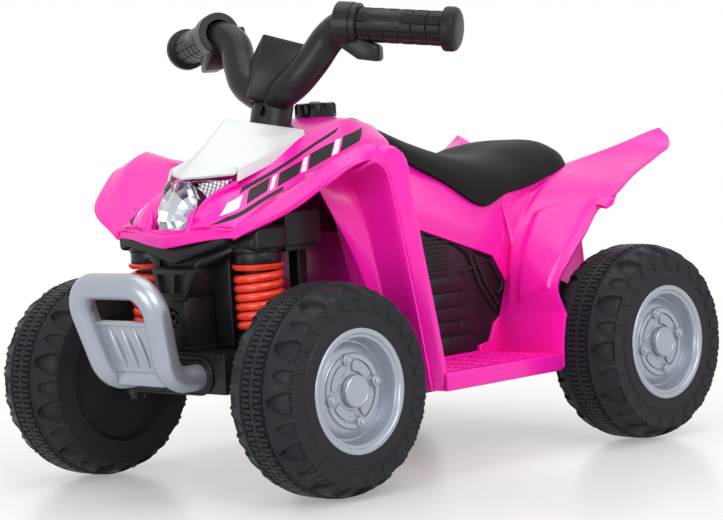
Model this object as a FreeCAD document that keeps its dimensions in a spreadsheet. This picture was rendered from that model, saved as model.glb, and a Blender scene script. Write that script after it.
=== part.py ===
import FreeCAD, Part
import math
import os
from types import SimpleNamespace

Vector = FreeCAD.Vector
doc = FreeCAD.newDocument("quad_bike")
sheet = doc.addObject("Spreadsheet::Sheet", "Sizes")

# Driving dimensions in millimetres and degrees
driving = {
    "wheelbase": 396.0,
    "tyre_radius": 95.0,
    "tyre_width": 78.0,
    "wheel_gap": 3.0,
    "tyre_wall": 4.0,
    "sidewall_inset": 1.6,
    "rim_radius": 55.0,
    "rim_wall": 2.4,
    "rim_depth": 17.0,
    "rim_disc_radius": 33.0,
    "rim_disc_depth": 10.0,
    "hub_cap_radius": 14.5,
    "hub_cap_depth": 4.0,
    "hub_tube_radius": 12.0,
    "hub_tube_depth": 24.0,
    "axle_radius": 5.0,
    "running_clearance": 0.05,
    "part_clearance": 0.3,
    "washer_radius": 9.0,
    "washer_thickness": 2.2,
    "nut_radius": 8.0,
    "nut_length": 8.0,
    "rake": 15.0,
    "column_radius": 9.0,
    "column_foot": 201.0,
    "column_top": 22.0,
    "head_tube_radius": 17.0,
    "bush_radius": 13.0,
    "bush_length": 14.0,
    "upper_bush": 26.0,
    "lower_bush": 176.0,
    "steer_arm": 34.0,
    "steer_pin_radius": 3.0,
    "steer_arm_width": 14.0,
    "steer_arm_thickness": 8.0,
    "kingpin_offset": 103.0,
    "kingpin_radius": 5.0,
    "knuckle_radius": 12.0,
    "knuckle_height": 33.0,
    "knuckle_reach": 15.0,
    "knuckle_boss_radius": 11.0,
    "tie_rod_thickness": 8.0,
    "tie_rod_width": 10.0,
    "neck_radius": 19.5,
    "neck_length": 37.0,
    "bar_radius": 13.0,
    "bar_bend_radius": 26.0,
    "bar_rise_y": 28.0,
    "bar_top_y": 74.0,
    "bar_end_y": 177.0,
    "grip_radius": 16.0,
    "grip_length": 88.0,
    "grip_cap_radius": 20.5,
    "grip_cap_length": 10.0,
    "housing_radius": 20.0,
    "housing_length": 27.0,
    "button_radius": 6.0,
    "button_travel": 3.0,
    "pad_height": 58.0,
    "beam_length": 150.0,
    "block_half_width": 22.0,
    "cross_half_width": 95.0,
    "damper_y": 71.0,
    "damper_radius": 14.0,
    "damper_cap_radius": 19.0,
    "spring_wire": 6.0,
    "spring_turns": 7.0,
    "spring_top_radius": 19.5,
    "spring_low_radius": 18.0,
    "flange_radius": 23.0,
    "flange_thickness": 3.5,
    "bumper_radius": 11.5,
    "bumper_bend": 24.0,
    "bumper_top_y": 53.0,
    "bumper_low_y": 41.0,
    "bumper_socket": 22.0,
    "plate_thickness": 4.0,
    "skin": 3.0,
    "side_gap": 3.6,
    "foot_width": 84.0,
    "tray_floor": 4.0,
    "tray_half_width": 88.4,
    "tray_wall": 4.0,
    "axle_boss_length": 11.6,
    "tray_height": 26.0,
    "nose_half_width": 60.0,
    "seat_wall": 4.0,
    "cap_radius": 20.0,
    "cap_height": 14.0,
    "start_radius": 5.5,
    "start_travel": 2.0,
    "battery_share": 0.6,
    "battery_width": 47.0,
    "battery_height": 104.0,
    "gear_module": 0.8,
    "pinion_teeth": 10.0,
    "middle_teeth": 50.0,
    "last_pinion_teeth": 12.0,
    "drive_teeth": 56.0,
    "gear_width": 6.0,
    "gear_pin_radius": 2.0,
    "train_angle": 35.0,
    "case_width": 46.0,
    "case_wall": 2.5,
    "motor_radius": 14.0,
    "motor_length": 32.0,
    "socket_bore": 2.9,
    "socket_radius": 7.0,
    "socket_depth": 10.0,
    "rocker_length": 18.0,
    "rocker_height": 10.0,
    "lens_thickness": 2.0,
    "lamp_radius": 26.0,
}

# Heights above the axles
above_axle = {
    "beam_low": -3.0,
    "beam_high": 33.0,
    "spring_low": 51.0,
    "bumper_low_z": 12.0,
    "plate_low": 21.0,
    "plate_high": 63.0,
    "tray_low": -31.0,
    "side_low": -17.0,
    "foot_top": -1.5,
    "foot_low": -18.0,
    "socket_z": 55.0,
    "switch_z": 95.0,
}

# Heights above the tops of the tyres
above_tyre = {
    "head_z": 135.0,
    "bar_rise_z": 165.0,
    "bar_top_z": 227.0,
    "bar_end_z": 214.5,
    "block_top": 10.0,
    "cross_low": 26.0,
    "cross_high": 40.0,
    "spring_high": 9.0,
    "flange_low": 13.0,
    "bumper_top_z": 3.5,
    "tail_z": 112.0,
    "cap_low": 140.2,
}

# Lengths ahead of the front axle
from_front_axle = {
    "head_x": -97.0,
    "bar_end_x": -158.2,
    "beam_back": -18.0,
    "beam_front": 47.0,
    "block_front": 35.0,
    "damper_x": -4.3,
    "bumper_top_x": 108.0,
    "bumper_low_x": 82.0,
    "nose_front": -86.0,
}

# Lengths ahead of the backs of the front tyres
from_front_tyre = {
    "tray_front": -37.0,
    "foot_front": -37.0,
    "wing_top_x": 7.0,
    "wing_low_x": -33.0,
    "cap_x": -63.0,
    "socket_x": -58.0,
    "switch_x": -58.0,
}

# Lengths ahead of the rear axle
from_rear_axle = {
    "tray_back": -52.0,
    "battery_back": 138.0,
}

# Lengths ahead of the edges of the rear tyres, front edge for the footrests, back edge for the tail
from_rear_tyre = {
    "foot_back": 4.0,
    "tail_x": -23.66,
}

entries = {**driving, **above_axle, **above_tyre, **from_front_axle, **from_front_tyre, **from_rear_axle,
           **from_rear_tyre}
for row, (name, value) in enumerate(entries.items(), start=1):
    sheet.set(f"A{row}", name)
    sheet.set(f"B{row}", str(value))
    sheet.setAlias(f"B{row}", name)
doc.recompute()
size = SimpleNamespace(**{name: float(sheet.get(name)) for name in entries})

# Places that several pieces share
front_x = size.wheelbase / 2
rear_x = -size.wheelbase / 2
axle_height = size.tyre_radius
tyre_top = 2 * size.tyre_radius


def measured(table, datum):
    for name in table:
        setattr(size, name, getattr(size, name) + datum)


measured(above_axle, axle_height)
measured(above_tyre, tyre_top)
measured(from_front_axle, front_x)
measured(from_front_tyre, front_x - size.tyre_radius)
measured(from_rear_axle, rear_x)
measured({"foot_back": 0}, rear_x + size.tyre_radius)
measured({"tail_x": 0}, rear_x - size.tyre_radius)
side_y = size.tray_half_width + size.side_gap
foot_y = side_y + size.foot_width
case_inner = size.tray_half_width + size.axle_boss_length
case_outer = case_inner + size.case_width
case_split = case_inner + size.case_width / 2
front_face = size.kingpin_offset + size.knuckle_reach + size.tyre_width
rear_face = case_outer + size.wheel_gap + size.tyre_width
tilt = math.radians(size.rake)
head_up = Vector(-math.sin(tilt), 0, math.cos(tilt))
head_back = Vector(-math.cos(tilt), 0, -math.sin(tilt))
head_point = Vector(size.head_x, 0, size.head_z)
sides = {"left": 1, "right": -1}
nodes = {}


def on_column(along):
    return head_point + head_up * along


def keep(node, thing):
    thing.Label = node
    nodes[node] = thing
    return thing


def facing(start, axis):
    return FreeCAD.Placement(start, FreeCAD.Rotation(Vector(0, 0, 1), axis))


def bind(thing, **expressions):
    for prop, text in expressions.items():
        thing.setExpression(prop, text)
    return thing


def cylinder(name, radius, length, start, axis=Vector(0, 0, 1)):
    thing = doc.addObject("Part::Cylinder", name)
    bind(thing, Radius=radius, Height=length)
    thing.Placement = facing(start, axis)
    return thing


def block(name, low, high):
    thing = doc.addObject("Part::Box", name)
    thing.Length = high[0] - low[0]
    thing.Width = high[1] - low[1]
    thing.Height = high[2] - low[2]
    thing.Placement.Base = Vector(*low)
    return thing


def fused(name, *parts):
    thing = doc.addObject("Part::MultiFuse", name)
    thing.Shapes = list(parts)
    thing.Refine = True
    return thing


def trimmed(name, base, *tools):
    thing = doc.addObject("Part::Cut", name)
    thing.Base = base
    thing.Tool = tools[0] if len(tools) == 1 else fused(name + "_tools", *tools)
    return thing


def revolved(name, profile):
    body = doc.addObject("PartDesign::Body", name)
    sketch = body.newObject("Sketcher::SketchObject", name + "_profile")
    plane = next(item for item in body.Origin.OriginFeatures if item.Role == "XZ_Plane")
    sketch.AttachmentSupport = [(plane, "")]
    sketch.MapMode = "FlatFace"
    for start, end in zip(profile, profile[1:] + profile[:1]):
        sketch.addGeometry(Part.LineSegment(Vector(*start, 0), Vector(*end, 0)), False)
    turn = body.newObject("PartDesign::Revolution", name + "_turn")
    turn.Profile = sketch
    turn.ReferenceAxis = (sketch, ["V_Axis"])
    turn.Angle = 360
    return body


def featured(name, shape):
    thing = doc.addObject("Part::Feature", name)
    thing.Shape = shape
    return thing


def mirrored(shape):
    return shape.mirror(Vector(0, 0, 0), Vector(0, 1, 0))


def polygon(points):
    return Part.makePolygon(list(points) + [points[0]])


def loft(sections):
    return Part.makeLoft([polygon(section) for section in sections], True, True)


# The skins are drawn round this hub; a drawn point rides with the axles, the tyres and the tray,
# and the engine opening at the waist takes up a longer or shorter wheelbase
drawn_hub = Vector(198, 92, 95)
drawn_waist = (-99, 22)
stretch = size.wheelbase / 2 - drawn_hub.x
growth = size.tyre_radius - drawn_hub.z


def clamp(value, low, high):
    return min(max(value, low), high)


def placed(x, y, z):
    ahead = clamp((x - drawn_waist[0]) / (drawn_waist[1] - drawn_waist[0]), 0, 1)
    by_front = stretch + growth * clamp((x - drawn_hub.x) / drawn_hub.z, -1, 1)
    by_rear = -stretch + growth * clamp((x + drawn_hub.x) / drawn_hub.z, -1, 1)
    widen = (side_y - drawn_hub.y) * clamp(y / drawn_hub.y, -1, 1)
    lift = growth * (1 + clamp((z - drawn_hub.z) / drawn_hub.z, 0, 1))
    return Vector(x + ahead * by_front + (1 - ahead) * by_rear, y + widen, z + lift)


def beside(x, y, z):
    """A drawn place in the side view, at a width given by a size."""
    spot = placed(x, 0, z)
    return Vector(spot.x, y, spot.z)


def net_normal(net, row, column):
    last_row = len(net) - 1
    last_column = len(net[0]) - 1
    across = net[min(row + 1, last_row)][column] - net[max(row - 1, 0)][column]
    along = net[row][min(column + 1, last_column)] - net[row][max(column - 1, 0)]
    return across.cross(along).normalize()


def triangles(a, b, c, d):
    return [Part.Face(polygon(corners)) for corners in ((a, b, c), (a, c, d))]


def thick_net(rows, wall):
    """A moulded skin: a net of points, thickened along its normals."""
    net = [[point if isinstance(point, Vector) else placed(*point) for point in row] for row in rows]
    under = [
        [point - net_normal(net, i, j) * wall for j, point in enumerate(row)]
        for i, row in enumerate(net)
    ]
    height = len(net) - 1
    width = len(net[0]) - 1
    faces = []
    for i in range(height):
        for j in range(width):
            faces += triangles(net[i][j], net[i + 1][j], net[i + 1][j + 1], net[i][j + 1])
            faces += triangles(under[i][j], under[i][j + 1], under[i + 1][j + 1], under[i + 1][j])
    for i in range(height):
        for j in (0, width):
            faces += triangles(net[i][j], net[i + 1][j], under[i + 1][j], under[i][j])
    for j in range(width):
        for i in (0, height):
            faces += triangles(net[i][j], net[i][j + 1], under[i][j + 1], under[i][j])
    solid = Part.Solid(Part.Shell(faces))
    if solid.Volume < 0:
        solid.reverse()
    return solid


def rounded_path(points, radius):
    """Straight runs joined by tangent arcs."""
    edges = []
    start = points[0]
    for before, corner, after in zip(points, points[1:], points[2:]):
        back = (before - corner).normalize()
        ahead = (after - corner).normalize()
        half = back.getAngle(ahead) / 2
        reach = radius / math.tan(half)
        middle = (back + ahead).normalize() * (radius / math.sin(half) - radius)
        edges.append(Part.LineSegment(start, corner + back * reach).toShape())
        arc = Part.Arc(corner + back * reach, corner + middle, corner + ahead * reach)
        edges.append(arc.toShape())
        start = corner + ahead * reach
    edges.append(Part.LineSegment(start, points[-1]).toShape())
    return Part.Wire(edges)


def tube(path, radius):
    first = path.OrderedEdges[0]
    start = first.valueAt(first.FirstParameter)
    ring = Part.Wire(Part.makeCircle(radius, start, first.tangentAt(first.FirstParameter)))
    shell = Part.BRepOffsetAPI.MakePipeShell(path)
    shell.add(ring)
    shell.build()
    shell.makeSolid()
    return shell.shape()


# Wheels: a hollow blow-moulded tyre with its inner disc and hub tube, and a pressed-in rim cap

def tyre_profile():
    shoulder = [(0.88, 0.0), (0.94, 0.1), (0.985, 0.26), (1.0, 0.4)]
    tread = [(size.tyre_radius * share, size.tyre_width * part) for share, part in shoulder]
    tread += [(radius, size.tyre_width - depth) for radius, depth in reversed(tread)]
    inner = size.tyre_width - size.tyre_wall
    outer = size.sidewall_inset + size.tyre_wall
    mouth = size.rim_radius - 2
    bore = size.axle_radius + size.running_clearance
    points = [(mouth, size.sidewall_inset), (tread[0][0], size.sidewall_inset)] + tread[1:-1]
    points += [(tread[-1][0], size.tyre_width), (size.rim_radius + 6, size.tyre_width)]
    points += [(size.rim_radius + 2, inner - 4), (size.hub_tube_radius + 10, inner - 4)]
    points += [(size.hub_tube_radius + 8, size.tyre_width), (bore, size.tyre_width)]
    points += [(bore, size.hub_tube_depth), (size.hub_tube_radius, size.hub_tube_depth)]
    points += [(size.hub_tube_radius, inner - 8), (size.rim_radius + 6, inner - 8)]
    points += [(tread[-1][0] - size.tyre_wall, inner)]
    points += [(radius - size.tyre_wall, depth) for radius, depth in reversed(tread[2:-2])]
    points += [(tread[1][0] - size.tyre_wall, outer), (mouth, outer)]
    return [(radius, -depth) for radius, depth in points]


def rim_profile():
    wall = size.rim_wall
    lip = size.rim_radius
    seat = lip - 2 - 0.2
    disc = size.rim_disc_radius
    cap = size.hub_cap_radius
    sleeve = size.hub_tube_radius + 0.2
    points = [(0, size.hub_cap_depth), (cap - 1, size.hub_cap_depth), (cap, size.hub_cap_depth + 1)]
    points += [(cap, size.rim_disc_depth), (disc - 1, size.rim_disc_depth)]
    points += [(disc, size.rim_disc_depth + 1), (disc + 1, size.rim_depth)]
    points += [(lip - 13, size.rim_depth), (lip - 10.5, size.rim_depth - 2), (lip - 8.5, 4)]
    points += [(lip - 6.5, 1.5), (lip - 4.5, 0), (lip - 1.5, 0), (lip, 0.8), (lip, size.sidewall_inset)]
    points += [(seat, size.sidewall_inset), (seat, 5.2), (lip - 6, 6.2), (lip - 8, size.rim_depth - 1)]
    points += [(lip - 11, size.rim_depth + wall), (disc - 1.5, size.rim_depth + wall)]
    points += [(disc - 2.5, size.rim_disc_depth + wall), (sleeve + wall, size.rim_disc_depth + wall)]
    points += [(sleeve + wall, size.hub_tube_depth + 2), (sleeve, size.hub_tube_depth + 2)]
    points += [(sleeve, size.hub_cap_depth + wall), (0, size.hub_cap_depth + wall)]
    return [(radius, -depth) for radius, depth in points]


for end, axle_x, face in (("front", front_x, front_face), ("rear", rear_x, rear_face)):
    for side, sign in sides.items():
        place = facing(Vector(axle_x, sign * face, axle_height), Vector(0, sign, 0))
        for part, profile in (("tyre", tyre_profile()), ("rim", rim_profile())):
            node = f"{part}_{end}_{side}"
            keep(node, revolved(node, profile)).Placement = place


# Rear axle, its washers and nuts, and the sleeves that hold the wheels off the chassis
nut_start = size.hub_tube_depth - size.running_clearance - size.washer_thickness
axle_end = rear_face - nut_start + size.nut_length
axle_low = Vector(rear_x, -axle_end, axle_height)
keep("rear_axle", featured("rear_axle", Part.makeCylinder(
    size.axle_radius, 2 * axle_end, axle_low, Vector(0, 1, 0))))


def ring(outer, inner, start, length, axis):
    hole = Part.makeCylinder(inner, length, start, axis)
    return Part.makeCylinder(outer, length, start, axis).cut(hole)


def wheel_nut(axle_x, face, sign):
    """A washer and a round nut at the outer end of a stub or axle."""
    out = Vector(0, sign, 0)
    start = Vector(axle_x, sign * (face - nut_start), axle_height)
    washer = ring(size.washer_radius, size.axle_radius, start - out * size.washer_thickness,
                  size.washer_thickness, out)
    nut = ring(size.nut_radius, size.axle_radius, start, size.nut_length, out)
    return [washer, nut]


rear_nuts = [piece for sign in sides.values() for piece in wheel_nut(rear_x, rear_face, sign)]
keep("rear_axle_nuts", featured("rear_axle_nuts", Part.makeCompound(rear_nuts)))
sleeve_radius = size.axle_radius + 3
wheel_inner = rear_face - size.tyre_width
right_sleeve = ring(sleeve_radius, size.axle_radius, Vector(rear_x, -case_inner, axle_height),
                    wheel_inner - case_inner - size.part_clearance, Vector(0, -1, 0))
keep("axle_sleeve", featured("axle_sleeve", right_sleeve))


# Chassis tray with the rear axle bosses
tray_top = size.tray_low + size.tray_height
tray_outer = block("tray_outer", (size.tray_back, -size.tray_half_width, size.tray_low),
                   (size.tray_front, size.tray_half_width, tray_top))
nose_top = size.beam_low + 8
tray_nose = block("tray_nose", (size.tray_front - 1, -size.nose_half_width, size.tray_low),
                  (size.nose_front, size.nose_half_width, nose_top))
floor_top = size.tray_low + size.tray_floor
tray_inside = block("tray_inside",
                    (size.tray_back + size.tray_wall, -size.tray_half_width + size.tray_wall, floor_top),
                    (size.tray_front - size.tray_wall, size.tray_half_width - size.tray_wall, tray_top + 1))
nose_inside = block("nose_inside",
                    (size.tray_front - 10, -size.nose_half_width + size.tray_wall, floor_top),
                    (size.nose_front - size.tray_wall, size.nose_half_width - size.tray_wall, nose_top + 1))
boss_half = 17.0
bosses = []
for side, sign in sides.items():
    inner_y, outer_y = sorted((sign * (size.tray_half_width - 14), sign * size.tray_half_width))
    bosses.append(block(f"axle_block_{side}", (rear_x - boss_half, inner_y, size.tray_low),
                        (rear_x + boss_half, outer_y, axle_height + boss_half)))
    bosses.append(cylinder(f"axle_boss_{side}", "14", "Sizes.axle_boss_length",
                           Vector(rear_x, sign * size.tray_half_width, axle_height),
                           Vector(0, sign, 0)))
axle_hole = cylinder("axle_hole", "Sizes.axle_radius", str(2 * case_inner),
                     Vector(rear_x, -case_inner, axle_height), Vector(0, 1, 0))
beam_tongue = block("beam_tongue", (size.nose_front - size.tray_wall, -size.nose_half_width, size.beam_low),
                    (size.beam_back, size.nose_half_width, nose_top))
tray_hollow = trimmed("tray_hollow", fused("tray_shell", tray_outer, tray_nose), tray_inside, nose_inside)
tray_solid = fused("tray_solid", tray_hollow, beam_tongue, *bosses)
keep("chassis_tray", trimmed("chassis_tray", tray_solid, axle_hole))


# Front axle beam with the kingpin bosses and the bumper sockets
beam = block("beam_body", (size.beam_back, -size.beam_length / 2, size.beam_low),
             (size.beam_front, size.beam_length / 2, size.beam_high))
knuckle_top = axle_height + size.knuckle_height / 2 + 1.5
boss_top = size.spring_low - 8
beam_parts = [beam]
beam_cuts = []
for side, sign in sides.items():
    low_y, high_y = sorted((sign * (size.beam_length / 2 - 5), sign * size.kingpin_offset))
    beam_parts.append(block(f"beam_arm_{side}", (front_x - 12, low_y, knuckle_top),
                            (front_x + 12, high_y, size.beam_high)))
    boss_at = Vector(front_x, sign * size.kingpin_offset, knuckle_top)
    beam_parts.append(cylinder(f"kingpin_boss_{side}", "Sizes.kingpin_radius + 8",
                               str(boss_top - knuckle_top), boss_at))
    beam_cuts.append(cylinder(f"kingpin_hole_{side}", "Sizes.kingpin_radius", "100", boss_at))
    socket_at = Vector(size.beam_front - size.bumper_socket, sign * size.bumper_low_y, size.bumper_low_z)
    beam_cuts.append(cylinder(f"bumper_socket_{side}", "Sizes.bumper_radius", "Sizes.bumper_socket + 1",
                              socket_at, Vector(1, 0, 0)))
keep("front_axle_beam", trimmed("front_axle_beam", fused("beam_solid", *beam_parts), *beam_cuts))


# Kingpins, knuckles and stub axles
knuckle_low = knuckle_top - size.part_clearance - size.knuckle_height
kingpins = []
for sign in sides.values():
    foot = Vector(front_x, sign * size.kingpin_offset, knuckle_low - size.part_clearance)
    pin = Part.makeCylinder(size.kingpin_radius, boss_top - foot.z, foot)
    head = Part.makeCylinder(size.kingpin_radius + 4, 3.5, foot - Vector(0, 0, 3.5))
    kingpins.append(pin.fuse(head).removeSplitter())
keep("kingpins", featured("kingpins", Part.makeCompound(kingpins)))
arm_top = knuckle_top - 4
rod_low = arm_top + 1
rod_high = rod_low + size.tie_rod_thickness
for side, sign in sides.items():
    centre = Vector(front_x, sign * size.kingpin_offset, 0)
    arm_end = centre - Vector(size.steer_arm, 0, 0)
    arm_low = arm_top - size.steer_arm_thickness
    half_width = size.steer_arm_width / 2
    out = Vector(0, sign, 0)
    body = cylinder(f"knuckle_body_{side}", "Sizes.knuckle_radius", "Sizes.knuckle_height",
                    centre + Vector(0, 0, knuckle_low))
    boss = cylinder(f"knuckle_boss_{side}", "Sizes.knuckle_boss_radius",
                    "Sizes.knuckle_reach - Sizes.part_clearance", centre + Vector(0, 0, axle_height), out)
    arm = block(f"knuckle_arm_{side}", (arm_end.x, centre.y - half_width, arm_low),
                (front_x, centre.y + half_width, arm_top))
    eye = cylinder(f"knuckle_eye_{side}", "Sizes.steer_arm_width / 2", "Sizes.steer_arm_thickness",
                   arm_end + Vector(0, 0, arm_low))
    pin = cylinder(f"knuckle_pin_{side}", "Sizes.steer_pin_radius", "Sizes.tie_rod_thickness + 3",
                   arm_end + Vector(0, 0, arm_top))
    bore = cylinder(f"knuckle_bore_{side}", "Sizes.kingpin_radius + Sizes.running_clearance",
                    "Sizes.knuckle_height", centre + Vector(0, 0, knuckle_low))
    stub_start = Vector(front_x, sign * (size.kingpin_offset + size.kingpin_radius + 2), axle_height)
    stub_hole = cylinder(f"stub_hole_{side}", "Sizes.axle_radius", "50", stub_start, out)
    solid = fused(f"knuckle_solid_{side}", body, boss, arm, eye, pin)
    keep(f"knuckle_{side}", trimmed(f"knuckle_{side}", solid, bore, stub_hole))
    stub_end = front_face - nut_start + size.nut_length
    stub_length = stub_end - abs(stub_start.y)
    stub = Part.makeCylinder(size.axle_radius, stub_length, stub_start, out)
    pieces = [stub] + wheel_nut(front_x, front_face, sign)
    keep(f"stub_axle_{side}", featured(f"stub_axle_{side}", Part.makeCompound(pieces)))


# Tie rod: it joins the two knuckle arms, and its tab takes the pin of the column's crank
pitman_centre = on_column(-size.column_foot + 6)
pitman_pin = pitman_centre + head_back * size.steer_arm
rod_x = front_x - size.steer_arm
rod_parts = [block("rod_bar", (rod_x - size.tie_rod_width / 2, -size.kingpin_offset, rod_low),
                   (rod_x + size.tie_rod_width / 2, size.kingpin_offset, rod_high))]
rod_holes = []
for side, sign in sides.items():
    eye_at = Vector(rod_x, sign * size.kingpin_offset, rod_low)
    rod_parts.append(cylinder(f"rod_eye_{side}", "Sizes.steer_arm_width / 2", "Sizes.tie_rod_thickness",
                              eye_at))
    rod_holes.append(cylinder(f"rod_hole_{side}", "Sizes.steer_pin_radius + Sizes.part_clearance", "50",
                              eye_at - Vector(0, 0, 10)))
pin_drop = (pitman_pin.z - rod_low - size.tie_rod_thickness / 2) / head_up.z
tab_centre = pitman_pin - head_up * pin_drop
rod_parts.append(block("rod_tab", (tab_centre.x, -size.steer_arm_width / 2, rod_low),
                       (rod_x, size.steer_arm_width / 2, rod_high)))
rod_parts.append(cylinder("rod_tab_eye", "Sizes.steer_arm_width / 2 + 1", "Sizes.tie_rod_thickness",
                          Vector(tab_centre.x, 0, rod_low)))
rod_holes.append(cylinder("rod_tab_hole", "Sizes.steer_pin_radius + 2 * Sizes.part_clearance", "40",
                          tab_centre - head_up * 20, head_up))
keep("tie_rod", trimmed("tie_rod", fused("rod_solid", *rod_parts), *rod_holes))


# Steering column with its crank and crank pin
column = Part.makeCylinder(size.column_radius, size.column_foot + size.column_top,
                           on_column(-size.column_foot), head_up)
crank_hub = Part.makeCylinder(size.column_radius + 4, 10, on_column(-size.column_foot), head_up)
crank_length = size.steer_arm
crank = Part.makeBox(crank_length, size.steer_arm_width, 10)
crank.Placement = FreeCAD.Placement(
    on_column(-size.column_foot) - Vector(0, size.steer_arm_width / 2, 0),
    FreeCAD.Rotation(head_back, Vector(0, 1, 0), head_up, "XZY"))
crank_eye = Part.makeCylinder(size.steer_arm_width / 2, 10,
                              on_column(-size.column_foot) + head_back * size.steer_arm, head_up)
crank_pin = Part.makeCylinder(size.steer_pin_radius, pin_drop + size.tie_rod_thickness / 2 + 4,
                              pitman_pin, head_up * -1)
column_shape = column.multiFuse([crank_hub, crank, crank_eye, crank_pin]).removeSplitter()
keep("steering_column", featured("steering_column", column_shape))
bush_bore = size.column_radius + size.running_clearance
bushes = [ring(size.bush_radius, bush_bore, on_column(-start - size.bush_length), size.bush_length, head_up)
          for start in (size.upper_bush, size.lower_bush)]
keep("column_bushes", featured("column_bushes", Part.makeCompound(bushes)))


# Front frame: centre block, cross member over the dampers and the raked head tube
tube_low = size.lower_bush + size.bush_length
tube_high = size.upper_bush
head_tube = Part.makeCylinder(size.head_tube_radius, tube_low - tube_high, on_column(-tube_low), head_up)
head_bore = Part.makeCylinder(size.bush_radius, tube_low - tube_high, on_column(-tube_low), head_up)
half_width = size.block_half_width


def bar(low, high):
    return Part.makeBox(high[0] - low[0], high[1] - low[1], high[2] - low[2], Vector(*low))


foot_plate = on_column(-tube_low).z
cross_front = size.damper_x + 22
centre_block = bar((size.beam_back, -half_width, size.beam_high),
                   (size.block_front, half_width, size.block_top))
upper_block = bar((size.beam_back, -half_width, size.block_top - 1),
                  (cross_front, half_width, size.cross_low))
cross = bar((size.head_x + 9, -size.cross_half_width, size.cross_low),
            (cross_front, size.cross_half_width, size.cross_high))
lower_link = bar((on_column(-tube_low).x, -half_width + 6, foot_plate + 6),
                 (size.beam_back + 1, half_width - 6, foot_plate + 34))
window_y = half_width / 2 - 1
windows = [bar((size.block_front - 6, sign * window_y - 7, size.block_top - 24),
               (size.block_front + 1, sign * window_y + 7, size.block_top - 6)) for sign in sides.values()]
screw_recess = bar((size.block_front - 7, -8, size.block_top - 54),
                   (size.block_front + 1, 8, size.block_top - 34))
frame = centre_block.multiFuse([upper_block, cross, lower_link, head_tube]).removeSplitter()
keep("front_frame", featured("front_frame", frame.cut(windows + [screw_recess, head_bore])))
guard_back = cross_front + size.part_clearance
guard_outline = [(0, size.block_top + 6), (68, size.cross_high - 6), (68, size.cross_high),
                 (0, size.cross_high - 9), (-68, size.cross_high), (-68, size.cross_high - 6)]
guard = Part.Face(polygon([Vector(guard_back, y, z) for y, z in guard_outline]))
keep("nose_guard", featured("nose_guard", guard.extrude(Vector(size.block_front - guard_back, 0, 0))))


# Front dampers and their coil springs
def coil_point(angle):
    share = angle / (2 * math.pi * size.spring_turns)
    radius = size.spring_low_radius + (size.spring_top_radius - size.spring_low_radius) * share
    height = size.spring_low + (size.spring_high - size.spring_low) * share
    return Vector(radius * math.cos(angle), radius * math.sin(angle), height)


def coil_tangent(angle):
    step = 1e-4
    return (coil_point(angle + step) - coil_point(angle - step)).normalize()


def arc_from(start, control, end):
    half = (start - control).getAngle(end - control) / 2
    reach = (start - control).Length
    inward = ((start + end) / 2 - control).normalize()
    middle = control + inward * (reach / math.cos(half) - reach * math.tan(half))
    return Part.Arc(start, middle, end).toShape()


def coil_path():
    """Quarter turns, each two tangent arcs, with a straight run at both ends."""
    quarter = math.pi / 2
    count = int(round(4 * size.spring_turns))
    begin = coil_point(0)
    edges = [Part.LineSegment(begin - coil_tangent(0) * size.spring_wire, begin).toShape()]
    for step in range(count):
        start, end = coil_point(step * quarter), coil_point((step + 1) * quarter)
        leave, arrive = coil_tangent(step * quarter), coil_tangent((step + 1) * quarter)
        gap = end - start
        square = 2 * (1 - leave.dot(arrive))
        linear = 2 * gap.dot(leave + arrive)
        reach = (-linear + math.sqrt(linear ** 2 + 4 * square * gap.dot(gap))) / (2 * square)
        first, second = start + leave * reach, end - arrive * reach
        joint = (first + second) / 2
        edges += [arc_from(start, first, joint), arc_from(joint, second, end)]
    last = count * quarter
    finish = coil_point(last)
    edges.append(Part.LineSegment(finish, finish + coil_tangent(last) * size.spring_wire).toShape())
    return Part.Wire(edges)


def coil_gap():
    """Least gap between neighbouring turns, measured on points of the centre line."""
    steps = 48
    spots = [coil_point(2 * math.pi * step / steps) for step in range(int(size.spring_turns * steps) + 1)]
    apart = [one.distanceToPoint(other)
             for index, one in enumerate(spots) for other in spots[index + steps // 2:]]
    return min(apart) - size.spring_wire


print(f"spring: least gap between turns {coil_gap():.2f} mm")
coil = tube(coil_path(), size.spring_wire / 2)
flange_top = size.flange_low + size.flange_thickness
for side, sign in sides.items():
    foot = Vector(size.damper_x, sign * size.damper_y, 0)
    spring = coil.copy()
    spring.translate(foot)
    flange = ring(size.flange_radius, size.damper_radius, foot + Vector(0, 0, size.flange_low),
                  size.flange_thickness, Vector(0, 0, 1))
    keep(f"spring_{side}", featured(f"spring_{side}", Part.makeCompound([spring, flange])))
    core = Part.makeCylinder(size.damper_radius, size.cross_low - size.beam_high,
                             foot + Vector(0, 0, size.beam_high))
    cap = Part.makeCylinder(size.damper_cap_radius, size.cross_low - flange_top,
                            foot + Vector(0, 0, flange_top))
    perch = Part.makeCylinder(size.spring_low_radius + 3, 3, foot + Vector(0, 0, size.spring_low - 7.5))
    keep(f"damper_{side}", featured(f"damper_{side}", core.multiFuse([cap, perch]).removeSplitter()))


# Bumper: one bent tube with a ribbed skid plate
def bumper_corner(sign, low):
    if low:
        return Vector(size.bumper_low_x, sign * size.bumper_low_y, size.bumper_low_z)
    return Vector(size.bumper_top_x, sign * size.bumper_top_y, size.bumper_top_z)


socket_x = size.beam_front - size.bumper_socket
tube_end = Vector(socket_x, 0, size.bumper_low_z)
side_run = Vector(0, size.bumper_low_y, 0)
loop = [tube_end + side_run, bumper_corner(1, True), bumper_corner(1, False),
        bumper_corner(-1, False), bumper_corner(-1, True), tube_end - side_run]
bumper_tube = tube(rounded_path(loop, size.bumper_bend), size.bumper_radius)


def leg_point(height, sign):
    share = (height - size.bumper_low_z) / (size.bumper_top_z - size.bumper_low_z)
    return bumper_corner(sign, True) + (bumper_corner(sign, False) - bumper_corner(sign, True)) * share


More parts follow.
